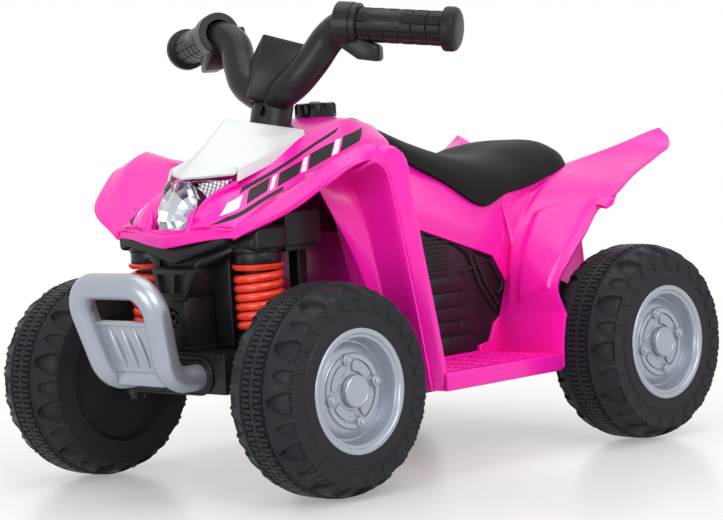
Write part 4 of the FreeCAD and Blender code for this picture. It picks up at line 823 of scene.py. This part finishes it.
def glintPiece(name):
    top, outer, foot = [Vector(corner) for corner in glint["corners"]]
    parts = [plateOf(name, glint["corners"], glint["wall"], 0.3)]
    for k in range(glint["ribs"]):
        share = (k + 0.5) / glint["ribs"]
        ends = [top.lerp(outer, share), foot.lerp(outer, share)]
        parts.append(tubeOf(f"{name}Rib{k}", ends, glint["rib"], 2))
    return joined(name, *parts)


leftGlint = glintPiece("glintLeft")
glints = joined("sideReflectors", leftGlint, mirroredCopy(leftGlint, "glintRight"))
place(glints, "ribbedReflector", "chassis", "lamp_mirror", "side_reflectors")


# side panels, footrests, rear fenders

body = {
    "wall": 3.0, "recess": 2.6, "swell": 3.0, "side": 92, "footRibs": (7, 6),
    "seatEdge": [
        (-19, 52, 288), (-58, 68.5, 263), (-97, 85, 238.2), (-131, 85, 247.8), (-160, 83.5, 250.6),
        (-205, 77, 258.6), (-245, 66, 267)],
    "opening": [
        (22, 222), (5, 221), (-100, 187), (-120, 158), (-116, 132), (-98, 120), (-90, 103), (-74, 101),
        (-74, 96), (22, 96)],
    "bladeStart": [(-105, 90.5, 121), (-118, 90.5, 158), (-126, 90.5, 190)],
    "bladeTip": [(-288, 95, 281.5), (-310, 117, 291.5), (-313.4, 130, 296.5)],
    "bladeFold": [
        (-106, 104, 123), (-112, 102, 156), (-120, 99, 186), (-137, 94, 213), (-161, 89, 233),
        (-204, 83, 256), (-247, 80, 269.5), (-286, 110, 285.5), (-309.2, 130, 296.5),
        (-314.9, 138, 299.5)],
    "bladeOuter": [
        (-106, 176, 128), (-114, 160, 156), (-136, 160, 181), (-162, 160, 205), (-184, 161, 228),
        (-197, 170, 240), (-232, 166, 257), (-285, 157.5, 274), (-309.5, 154.8, 284.5),
        (-314.4, 149.5, 290.5)],
    "tab": [
        (-178, 158, 231), (-178, 170, 229), (-181, 172, 225), (-190, 174, 229), (-199, 172, 238),
        (-200, 160, 241), (-186, 158, 226)],
    "well": [
        [(-105.5, 91, 127), (-105.5, 176, 132)], [(-100, 91, 107), (-100, 176, 107)],
        [(-98, 91, 80), (-98, 176, 80)]]}


def within(value, low, high, soft):  # one inside a span, falling off at its ends
    return np.clip((value - low) / soft, 0, 1) * np.clip((high - value) / soft, 0, 1)


def fenderRelief(u, v):  # sunk field on the lower blade, swell beside the saddle
    slant = v - 1.19
    sunk = within(u, 0.5 + 0.6 * slant, 3.6 + 1.6 * slant, 0.05) * within(v, 1.19, 1.87, 0.03)
    swell = within(u, 2.8, 6.4, 1.2) * within(v, 0.08, 0.95, 0.45)
    return body["swell"] * swell - body["recess"] * sunk


def bodyHalf():
    edge, wall, sideY = body["seatEdge"], body["wall"], body["side"]
    middle = [(30, 236), (-20, 229), (-58, 216), (-97, 201), (-132, 168)]
    side = skinOf("sidePanel", [
        [*onShield((3, 69, 274)), (32, 67.5, 295), *edge[:4]],
        [*onShield((3, 88, 212)), *((x, sideY, z) for x, z in middle)],
        [(x, sideY, 78) for x in (70.5, 30, -20, -58, -97, -126)]], wall, 7, 6, 0.08, side=1)
    cutBy(side, plateOf("openingCutter", [(x, 80, z) for x, z in body["opening"]], (0, 24, 0), 0.02))
    border = [(x, sideY + 0.3, z) for x, z in body["opening"][:9]]
    trim = tubeOf("openingTrim", roundedPath(border, 5, 4), 1.0, 3)
    bladeRows = [body["bladeStart"] + edge[3:] + body["bladeTip"], body["bladeFold"], body["bladeOuter"]]
    blade = skinOf("rearFender", bladeRows, wall, 14, 22, 0.03, side=1, edge=0.7, relief=fenderRelief)
    tab = hullOf("fenderTab", body["tab"], 1.2)
    well = skinOf("wellWall", body["well"], wall, 3, 4, 0.3, side=1)
    foot = boxOf("footRest", (-99, 91, 77), (66, 176, 93.5), 2.5, 3)
    lanes, steps = body["footRibs"]
    ribs = []
    for k in range(lanes):
        for j in range(steps):
            x, y = -90 + 24 * j, 104 + 9 * k
            ribs.append(boxOf(f"footRib{k}{j}", (x, y, 92.8), (x + 18, y + 3, 94.4), 0.6))
    innerLine = [(-120, 91, 200)] + [(x, y - 1.5, z - 2) for x, y, z in edge[3:]]
    middleLine = [(x, y / 2 + 44.5, z / 2 + 45) for x, y, z in innerLine]
    footLine = [(x, 87.9, 90.6) for x, y, z in innerLine]
    wheelWall = skinOf("wheelWall", [
        innerLine + [(-262, 62.6, 262.4)], middleLine + [(-256, 80.6, 170)],
        footLine + [(-248.4, 85, 90.6)]], wall, 5, 4, 0.3, sharp=(5,), side=1)
    return joined("bodyHalf", side, trim, blade, tab, well, foot, wheelWall, *ribs)


leftBody = bodyHalf()
rightBody = mirroredCopy(leftBody, "bodyRight")
deckLine = [(x, y - 1, z - 1.5) for x, y, z in body["seatEdge"][3:]]
deckLine += [(-262, 62, 262), (-256, 80, 170), (-248, 84.4, 90.6)]
deckRows = [deckLine, [(x, 0, z) for x, y, z in deckLine], [flipped(point) for point in deckLine]]
deck = skinOf("deck", deckRows, body["wall"], 4, 4, 0.1, sharp=(3, 4))
bulkhead = boxOf("bulkhead", (56, -91, 90.6), (59, 91, 222), 0.5)
mainBody = joined("mainBody", leftBody, rightBody, deck, bulkhead)
place(mainBody, "pinkGloss", "chassis", "body_plastic", "main_body")
print("body modelled")


# engine panels, with corners in x and z and heights above the face

engine = {
    "face": 88.6, "fins": 9, "finLow": 175, "finPitch": 4.2, "finWall": 2.2, "finHeight": 3.0,
    "outline": [
        (26, 226), (5, 225), (-103, 190), (-124, 158), (-120, 128), (-100, 112), (-92, 94), (26, 94)],
    "blocks": [
        ((-57, 157), (18, 171), 2.2), ((-56, 143), (-3, 156), 2.9), ((0, 143), (18, 156), 1.6),
        ((-62, 129), (18, 141.5), 1.9), ((-47, 118), (-12, 128), 2.5), ((-62, 115), (-49, 128), 1.5),
        ((-9, 115), (18, 128), 2.0), ((-67, 97), (-22, 113.5), 2.3), ((-19, 97), (18, 113.5), 1.7),
        ((-4, 174), (0, 216), 2.4), ((3, 172), (19, 214), 1.4)],
    "pipes": [
        ([(-41, 210), (-69, 190), (-82, 161), (-102, 134)], 2.4),
        ([(-50, 208), (-77, 188), (-91, 160), (-108, 138)], 2.4),
        ([(-58, 174), (-84, 181), (-106, 183)], 1.5),
        ([(-98, 184), (-117, 158), (-111, 147), (-97, 153)], 2.0),
        ([(4, 219), (-40, 205), (-96, 187)], 1.6)]}


def enginePiece(name):
    face = engine["face"]
    parts = [plateOf("enginePlate", [(x, face - 3, z) for x, z in engine["outline"]], (0, 3, 0), 0.3)]
    for k in range(engine["fins"]):
        low = engine["finLow"] + engine["finPitch"] * k
        high = (-2, face + engine["finHeight"], low + engine["finWall"])
        parts.append(boxOf(f"fin{k}", (-38, face - 1, low), high, 0.5))
    for k, ((x0, z0), (x1, z1), deep) in enumerate(engine["blocks"]):
        parts.append(boxOf(f"engineBlock{k}", (x0, face - 1, z0), (x1, face + deep, z1), 0.9))
    for k, (line, radius) in enumerate(engine["pipes"]):
        parts.append(tubeOf(f"enginePipe{k}", roundedPath([(x, face + 0.4, z) for x, z in line], 9), radius))
    return joined(name, *parts)


leftEngine = enginePiece("enginePanelLeft")
rightEngine = mirroredCopy(leftEngine, "enginePanelRight")
placePair(leftEngine, rightEngine, "engineBlack", "chassis", "black_plastic", "engine_panel")


# saddle: at each station x, the height of its crown, then edge and foot in y and z

saddle = {
    "wall": 3.5, "end": (-262, 267),
    "stations": [
        (1, 325, (17, 322), (22, 312)), (-19, 314, (27, 310), (53.5, 284.6)),
        (-58, 295, (44, 290), (70.5, 259.6)), (-97, 282, (57, 276), (87, 234.4)),
        (-131, 279, (60, 272), (86.6, 244.6)), (-160, 280, (60, 273), (84.6, 247.8)),
        (-205, 288, (57, 282), (77.6, 256.6)), (-245, 289, (46, 283), (66, 266)),
        (-258, 281, (36, 275), (54, 266.4))]}
saddleLines = [[], [], [], []]
for x, crown, edge, foot in saddle["stations"]:
    bulge = (x, foot[0] * 0.55 + edge[0] * 0.45 + 3, foot[1] * 0.5 + edge[1] * 0.5 + 1)
    for line, point in zip(saddleLines, ((x, *foot), bulge, (x, *edge), (x, 0, crown))):
        line.append(point)
for line in saddleLines:
    line.append((saddle["end"][0], line[-1][1] * 0.9, saddle["end"][1]))
seat = skinOf("saddle", mirroredRows(saddleLines), saddle["wall"], 6, 5, soft=True, side=1, edge=1.2)
place(seat, "seatBlack", "chassis", "black_plastic", "seat")
print("saddle modelled")


# handlebar

bars = {
    "grip": 16.0, "rings": 6, "lines": 12, "lineDepth": 0.9, "ringDepth": 1.1, "grooveShare": 0.46,
    "radii": [16, 16, 15.8, 15.6, 14.5, 13.6, 13],
    "path": [
        (99, 6, 351), (95.9, 35.2, 367), (88.7, 49.7, 383.5), (80.5, 64.5, 404), (79.5, 80, 413),
        (76.4, 97.6, 414.1), (39.8, 177, 404.5)],
    "gripCap": [
        (-10, 0.01), (-10, 12), (-9.2, 16.5), (-7.4, 19.3), (-5, 20.4), (2, 20.5), (3, 20.0), (3.2, 17)],
    "ribbed": (4, 87),
    "collar": [
        (16.4, 0), (18.6, 0), (19.6, 0.8), (19.8, 4.6), (19.2, 5.2), (19.2, 6.2), (20.4, 6.8),
        (20.4, 21), (19.4, 22), (13.4, 22), (13.4, 4), (16.4, 3.6), (16.4, 0)],
    "lever": ((-19, 19, 31, 6), (-15, 17, 33, 8), (2, 12, 32, 9), (20, 12, 21, 8)),
    "neck": [(9.2, 0), (18.6, 0), (19.5, 1), (19.5, 26), (18.8, 33), (16, 37), (9.2, 37)],
    "pad": [
        (128.5, 0, 352), (103, 0, 411.4), (92, 33.3, 385), (78, 33.5, 398.5), (70, 28, 396),
        (112, 8, 346.5), (100, 23, 361), (82, 20, 353)]}
gripEnd = Vector(bars["path"][-1])
gripAxis = (Vector((87.3, 74, 417)) - gripEnd).normalized()
barLine = smoothLine(bars["path"], 8)
barRadii = np.interp(np.linspace(0, 6, len(barLine)), range(7), bars["radii"])
leftTube = tubeOf("leftTube", barLine, 1.0, 8, radii=barRadii)
rightTube = mirroredCopy(leftTube, "rightTube")
buttonWay = Vector((gripAxis.y, -gripAxis.x, 0)).normalized()
buttonAt = gripEnd + gripAxis * 101.9 + buttonWay * 13.5  # inner end of the pressed thumb button
cutBy(rightTube, rod("barPocket", flipped(buttonAt), flipped(buttonWay), 6.6, 16))
neckFoot = Vector((101, 0, 325)) - headUp * 5
neck = turned("neck", bars["neck"], 56, neckFoot, headUp)
screwAt = neckFoot + headUp * 17
screwWay = (0.92, 0.4, 0.2)
cutBy(neck, rod("screwHole", screwAt + Vector((12, 5, 0)), screwWay, 3.6, 20))
cutBy(neck, rod("screwSlot", screwAt + Vector((12, 5, 5)), screwWay, 1.8, 20))
place(joined("handlebar", leftTube, rightTube, neck), "frameBlack", "steering", "black_plastic", "handlebar")


def gripPiece(name):
    low, high = bars["ribbed"]
    stations = bars["gripCap"] + [(h, bars["grip"]) for h in np.linspace(low, high, 84)]
    stations += [(88, 15.4), (88, 13.1)]
    turns = np.linspace(0, fullTurn, 145)
    ways = ringWays(gripAxis, turns)
    line = np.abs((turns / fullTurn * bars["lines"]) % 1 - 0.5) > bars["grooveShare"]
    net = []
    for height, radius in stations:
        reach = np.full(145, float(radius))
        if low <= height <= high:
            off = ((height - low) / (high - low) * bars["rings"]) % 1 - 0.5
            ring = bars["ringDepth"] if abs(off) > bars["grooveShare"] else 0.0
            reach -= np.where(line, bars["lineDepth"], 0.0)
            reach = np.minimum(reach, radius - ring) - 0.9 * off ** 2
        net.append(np.array(gripEnd + gripAxis * height)[None] + reach[:, None] * ways)
    return smooth(tidyMesh(gridOf(name, net)), 30)


def housingPiece(name):
    start = gripEnd + gripAxis * 85
    corners = []
    for reach, low, high, half in bars["lever"]:
        for side in (-half, half):
            spot = start + gripAxis * reach + Vector((side, side * 0.46, 0))
            corners += [spot - Vector((0, 0, low)), spot - Vector((0, 0, high))]
    collar = turned(name, bars["collar"], 56, start, gripAxis)
    return joined(name, collar, hullOf(name + "Lever", corners, 2.2))


leftGrip = gripPiece("gripLeft")
rightGrip = mirroredCopy(leftGrip, "gripRight")
placePair(leftGrip, rightGrip, "gripBlack", "steering", "black_plastic", "grip")
leftHousing = housingPiece("switchHousingLeft")
rightHousing = mirroredCopy(leftHousing, "switchHousingRight")
cutBy(rightHousing, rod("housingPocket", flipped(buttonAt), flipped(buttonWay), 6.4, 16))
placePair(leftHousing, rightHousing, "frameBlack", "steering", "black_plastic", "switch_housing")
pad = hullOf("handlebarPad", bothSides(bars["pad"]), 1.6)
place(pad, "frameBlack", "steering", "black_plastic", "handlebar_pad")


# fuel cap: rows of inset, height and share of the scallops

cap = {
    "radius": 20.0, "scallops": 8, "bite": 4.6, "at": (40, 330.2),
    "rows": (
        (1, 0, 0), (0, 1, 0), (0, 3.2, 0), (0, 4.2, 1), (0, 11.2, 1), (0.6, 12.8, 1), (2.6, 14.0, 0.4),
        (5.5, 14, 0), (6.2, 13.4, 0), (13.6, 13.4, 0), (14.1, 13.0, 0), (14.1, 4, 0))}
capTurns = np.linspace(0, fullTurn, 161)
capNet = []
for inset, height, share in cap["rows"]:
    bite = np.clip(np.cos(capTurns * cap["scallops"] + math.pi) - 0.45, 0, 1) * cap["bite"] * share
    reach = cap["radius"] - inset - bite
    capNet.append(np.stack([cap["at"][0] + reach * np.cos(capTurns), reach * np.sin(capTurns),
                            np.full(161, cap["at"][1] + height)], axis=-1))
place(smooth(tidyMesh(gridOf("fuelCap", capNet))), "frameBlack", "chassis", "black_plastic", "fuel_cap")
print("handlebar and cap modelled")


# front frame, dampers and springs; the blocks are left ones, each with a mirror image

front = {
    "socketBead": 1.3, "damperAt": (193.7, 71),
    "blocks": [
        ("sidePanel", (184, 24, 129), (206, 46, 217), 1.5),
        ("housingLow", (177, 48, 217.5), (216, 90, 231), 4.5),
        ("housingHigh", (177, 77.5, 216.5), (215, 95.5, 239), 4.5),
        ("housingArm", (134, 48, 220), (180, 82, 232), 2.0),
        ("housingBack", (134, 79, 218.5), (179.5, 94, 249.5), 1.6),
        ("housingStrap", (136, 76, 213.5), (176, 90, 222), 1.2),
        ("frameLeg", (128, 54, 140), (140, 67, 222), 1.5)],
    "middle": [
        ("crossMember", (112, -52, 216), (214, 52, 230), 2.5, 3),
        ("towerHead", (178, -28, 200), (224, 28, 217), 2.0),
        ("towerBarTop", (233, -19, 173.5), (238.4, 19, 177.5), 0.9),
        ("towerBarLow", (233, -20, 141), (238.2, 20, 143.5), 0.7),
        ("towerFoot", (181, -27, 127.5), (239, 27, 132), 1.2)],
    "towerLow": [(237, 22, 128.5), (236.5, 17, 177), (182, 24, 128.5), (182, 24, 180)],
    "towerTop": [
        (235.5, 18, 176), (232.5, 30, 200), (228, 30, 204), (182, 28, 176), (182, 30, 204)],
    "window": [(2, 180), (15.84, 180), (2, 197), (22, 197)],
    "shoulder": [
        (229, 24, 200), (229, 30, 206), (214, 62, 217), (214, 62, 224), (190, 24, 196), (190, 62, 217),
        (225, 24, 216)],
    "screw": [(0.01, -3), (2.2, -3), (3.0, 0.4), (4.6, 0.9), (5.4, 0.4), (5.6, -3)],
    "socket": [(0.01, 215), (21.6, 215), (22.4, 216), (22.4, 224), (22, 226), (0.01, 226)]}
upright = (0, 0, 1)


def frameParts():
    tower = hullOf("towerLow", bothSides(front["towerLow"]), 1.5)
    cutBy(tower, boxOf("screwPocket", (232, -8, 149), (240, 8, 167), 0.8))
    top = hullOf("towerTop", bothSides(front["towerTop"]), 1.5)
    for sign in (-1, 1):
        corners = [(x, y * sign, z) for x in (239, 229.5) for y, z in front["window"]]
        cutBy(top, hullOf(f"windowCut{sign}", corners, 0.5))
    parts = [tower, turned("screwRing", front["screw"], 32, (235.2, 0, 158), (1, 0, 0)), top]
    parts += [boxOf(*block) for block in front["middle"]]
    damperX, damperY = front["damperAt"]
    for sign in (1, -1):
        parts.append(hullOf(f"shoulder{sign}", [(x, y * sign, z) for x, y, z in front["shoulder"]], 1.2))
        for name, (x0, y0, z0), (x1, y1, z1), soft in front["blocks"]:
            nearY, farY = sorted((y0 * sign, y1 * sign))
            parts.append(boxOf(f"{name}{sign}", (x0, nearY, z0), (x1, farY, z1), soft, 3))
        socketAt = (damperX, damperY * sign, 0)
        parts.append(turned(f"damperSocket{sign}", front["socket"], 48, socketAt, upright))
    return parts


place(joined("frontFrame", *frameParts()), "frameBlack", "chassis", "black_plastic", "front_frame")
place(softCopy("nose_guard", "noseGuard", 1.8), "frameBlack", "chassis", "black_plastic", "nose_guard")


def stadium(half, low, high, x):  # rounded outline on the face of the beam
    radius = (high - low) / 2
    middle = (high + low) / 2
    return thereAndBack([(x, half + radius * math.sin(a), middle + radius * math.cos(a))
                         for a in np.linspace(0, math.pi, 17)])


beamParts = [softCopy("front_axle_beam", "frontAxleBeam", 3.0),
             plateOf("socketPlate", stadium(43, 91, 124, 242), (4.6, 0, 0), 1.2)]
for k, grow in enumerate((0, 4)):
    ring = stadium(43, 91.5 + grow, 123.5 - grow, 246.2)
    beamParts.append(tubeOf(f"socketBead{k}", ring + [ring[0]], front["socketBead"], 3, caps=False))
place(joined("frontAxleBeam", *beamParts), "frameBlack", "chassis", "black_plastic", "front_axle_beam")

spring = {
    "turns": 6, "perTurn": 36, "start": 3.6, "heights": (147, 196.6), "radii": (18.0, 19.2), "wire": 3.8,
    "seat": [
        (14.2, 199.4), (21, 199.4), (23.6, 202), (23.8, 203.6), (22.8, 204.6), (14.2, 204.6),
        (14.2, 199.4)],
    "damper": [
        (0.01, 128), (14, 128), (14, 138), (20.2, 138.4), (21, 139), (21, 141), (20.2, 141.5),
        (13.6, 141.8), (13.6, 200), (14.4, 204.7), (20.4, 204.7), (21, 205.6), (21, 215.2), (20.4, 216),
        (0.01, 216)]}


def springPiece(name):
    x, y = front["damperAt"]
    line = []
    for share in np.linspace(0, 1, spring["turns"] * spring["perTurn"] + 1):
        reach, height = (low + (high - low) * share for low, high in (spring["radii"], spring["heights"]))
        a = fullTurn * spring["turns"] * share + spring["start"]
        line.append((x + reach * math.cos(a), y + reach * math.sin(a), height))
    coil = tubeOf(name + "Coil", line, spring["wire"], 4)
    return joined(name, coil, turned(name + "Ring", spring["seat"], 64, (x, y, 0), upright))


leftSpring = springPiece("springLeft")
rightSpring = mirroredCopy(leftSpring, "springRight")
placePair(leftSpring, rightSpring, "springOrange", "chassis", "spring_plastic", "spring")
leftDamper = turned("damperLeft", spring["damper"], 56, (*front["damperAt"], 0), upright)
rightDamper = mirroredCopy(leftDamper, "damperRight")
placePair(leftDamper, rightDamper, "frameBlack", "chassis", "black_plastic", "damper")


# bumper

bumper = {
    "radius": 11.9, "bend": 25.0, "top": (305.3, 53, 193), "low": (280, 41, 107),
    "start": (223, 41, 107), "ledgeForward": 0.0022, "rib": 3.3, "ribSteps": 15,
    "bridge": [(258, 41, 102), (258, 41, 109), (279, 30, 101), (281, 30, 114), (277, 30, 116)]}
loop = thereAndBack([bumper[key] for key in ("start", "low", "top")])
bumperParts = [tubeOf("bumperTube", roundedPath(loop, bumper["bend"], 12), bumper["radius"], 8)]


def legPoint(z, y):  # a point on the slant of the legs
    low, top = bumper["low"], bumper["top"]
    return low[0] + (top[0] - low[0]) * (z - low[2]) / (top[2] - low[2]), y, z


def legPlate(name, low, lowHalf, high, highHalf, deep, edge):
    corners = thereAndBack([legPoint(low, lowHalf), legPoint(high, highHalf)])
    return plateOf(name, corners, (-deep, 0, 0), edge)


ledge = legPlate("skidLedge", 156.5, 46, 160.5, 46, 13, 1.2)
ledge.data.transform(Matrix.Translation((bumper["ledgeForward"], 0, 0)))
bumperParts += [legPlate("skidPlate", 114, 41, 158, 47, 5, 0.8), ledge,
                hullOf("skidBridge", bothSides(bumper["bridge"]), 1.4)]
ribShares = np.linspace(0, 1, bumper["ribSteps"])
ribRadii = [0.3 + bumper["rib"] * math.sin(math.pi * t) ** 0.7 for t in ribShares]
for k in (-1, 0, 1):
    low, high = Vector(legPoint(118, 16 * k + 4)), Vector(legPoint(155, 17 * k - 4))
    line = [low + (high - low) * t for t in ribShares]
    bumperParts.append(tubeOf(f"skidRib{k + 1}", line, 1.0, 4, radii=ribRadii))
place(joined("bumper", *bumperParts), "silverPaint", "chassis", "silver_plastic", "bumper")
print("front end modelled")


# finishes of the other solids

solidLooks = {
    "greyButton": ["start_button"], "gripBlack": ["drive_button"], "batteryGrey": ["battery"],
    "steelLook": [
        "motor", "motor_pinion", "rear_axle", "rear_axle_nuts", "stub_axle_left", "stub_axle_right",
        "steering_column", "gear_pins", "tie_rod"],
    "gearWhite": ["axle_sleeve", "first_gear", "second_gear", "drive_gear", "column_bushes"]}
lookOfNode = {node: looks[look] for look, nodes in solidLooks.items() for node in nodes}
for node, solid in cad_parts.items():
    for slot in solid.material_slots:
        slot.material = lookOfNode.get(node, looks["frameBlack"])


# floor, light and camera

stage = {
    "floor": 0.92, "floorRough": 0.22, "floorRadius": 6.0, "floorAt": -0.0005, "fade": (0.25, 0.74),
    "worldLight": 0.53, "lift": 0.30, "aim": (0, 0, 0.2),
    "lights": {
        "keyLight": ((0.7, 1.9, 1.5), 1.5, 24.0), "fillLight": ((2.3, 0.5, 0.5), 1.3, 17.0),
        "topLight": ((-0.2, 0.1, 2.2), 1.8, 15.0)}}


def shownRays(tree):  # rays that see the pale backdrop: straight, off gloss and through glass
    path = nodeOf(tree, "LightPath")
    gloss = nodeOf(tree, "Math", operation="MAXIMUM")
    shown = nodeOf(tree, "Math", operation="MAXIMUM")
    link(path, "Is Glossy Ray", gloss, 0)
    link(path, "Is Transmission Ray", gloss, 1)
    link(path, "Is Camera Ray", shown, 0)
    link(gloss, "Value", shown, 1)
    return shown


def floorLook():  # pale floor that fades into the backdrop
    look, tree, shader = newLook("paleFloor")
    setInputs(shader, {"Base Color": (*[stage["floor"]] * 3, 1), "Roughness": stage["floorRough"]})
    near, far = stage["fade"]
    spot = nodeOf(tree, "TexCoord")
    span = nodeOf(tree, "VectorMath", operation="LENGTH")
    fade = nodeOf(tree, "MapRange", interpolation_type="SMOOTHSTEP")
    setInputs(fade, {"From Min": near, "From Max": far, "To Min": stage["lift"]})
    seen = nodeOf(tree, "Math", operation="MULTIPLY")
    glow = nodeOf(tree, "Emission")
    mix = nodeOf(tree, "MixShader")
    link(spot, "Object", span, 0)
    link(span, "Value", fade, "Value")
    link(fade, "Result", seen, 0)
    link(shownRays(tree), "Value", seen, 1)
    link(seen, "Value", mix, "Fac")
    link(shader, "BSDF", mix, 1)
    link(glow, "Emission", mix, 2)
    link(mix, "Shader", tree.nodes["Material Output"], "Surface")
    return look


def worldLook():
    world = bpy.data.worlds.new("studio")
    bpy.context.scene.world = world
    world.use_nodes = True
    tree = world.node_tree
    tree.nodes.clear()
    dim = nodeOf(tree, "Background", {"Color": white, "Strength": stage["worldLight"]})
    bright = nodeOf(tree, "Background", {"Color": white, "Strength": 1.0})
    mix = nodeOf(tree, "MixShader")
    link(shownRays(tree), "Value", mix, "Fac")
    link(dim, "Background", mix, 1)
    link(bright, "Background", mix, 2)
    link(mix, "Shader", nodeOf(tree, "OutputWorld"), "Surface")


clearSelection()
bpy.ops.mesh.primitive_circle_add(vertices=96, radius=stage["floorRadius"], fill_type="NGON",
                                  location=(0, 0, stage["floorAt"]))
floor = named("floor")
bpy.ops.object.transform_apply()
floor.data.materials.append(floorLook())
worldLook()
for name, (spot, size, power) in stage["lights"].items():
    clearSelection()
    bpy.ops.object.light_add(type="AREA", location=spot)
    light = bpy.context.object
    light.name = name
    light.data.size = size
    light.data.energy = power
    light.rotation_euler = (Vector(stage["aim"]) - Vector(spot)).to_track_quat("-Z", "Y").to_euler()

view = {
    "azimuth": 134.316, "elevation": 3.857, "roll": -3.191, "target": (-0.01165, 0, 0.1890),
    "distance": 2.3995, "lens": 122.54, "sensor": 36}
az, el, roll = (math.radians(view[key]) for key in ("azimuth", "elevation", "roll"))
back = Vector((math.sin(az) * math.cos(el), -math.cos(az) * math.cos(el), math.sin(el)))
right = Vector((math.cos(az), math.sin(az), 0))
up = back.cross(right)
tiltedRight = right * math.cos(roll) + up * math.sin(roll)
tiltedUp = up * math.cos(roll) - right * math.sin(roll)
turn = Matrix((tiltedRight, tiltedUp, back)).transposed().to_4x4()
clearSelection()
bpy.ops.object.camera_add()
camera = bpy.context.object
camera.name = "photoCamera"
camera.data.lens = view["lens"]
camera.data.sensor_width = view["sensor"]
camera.data.sensor_fit = "HORIZONTAL"
camera.matrix_world = Matrix.Translation(Vector(view["target"]) + back * view["distance"]) @ turn
bpy.context.scene.camera = camera
bpy.context.scene.view_settings.view_transform = "Standard"
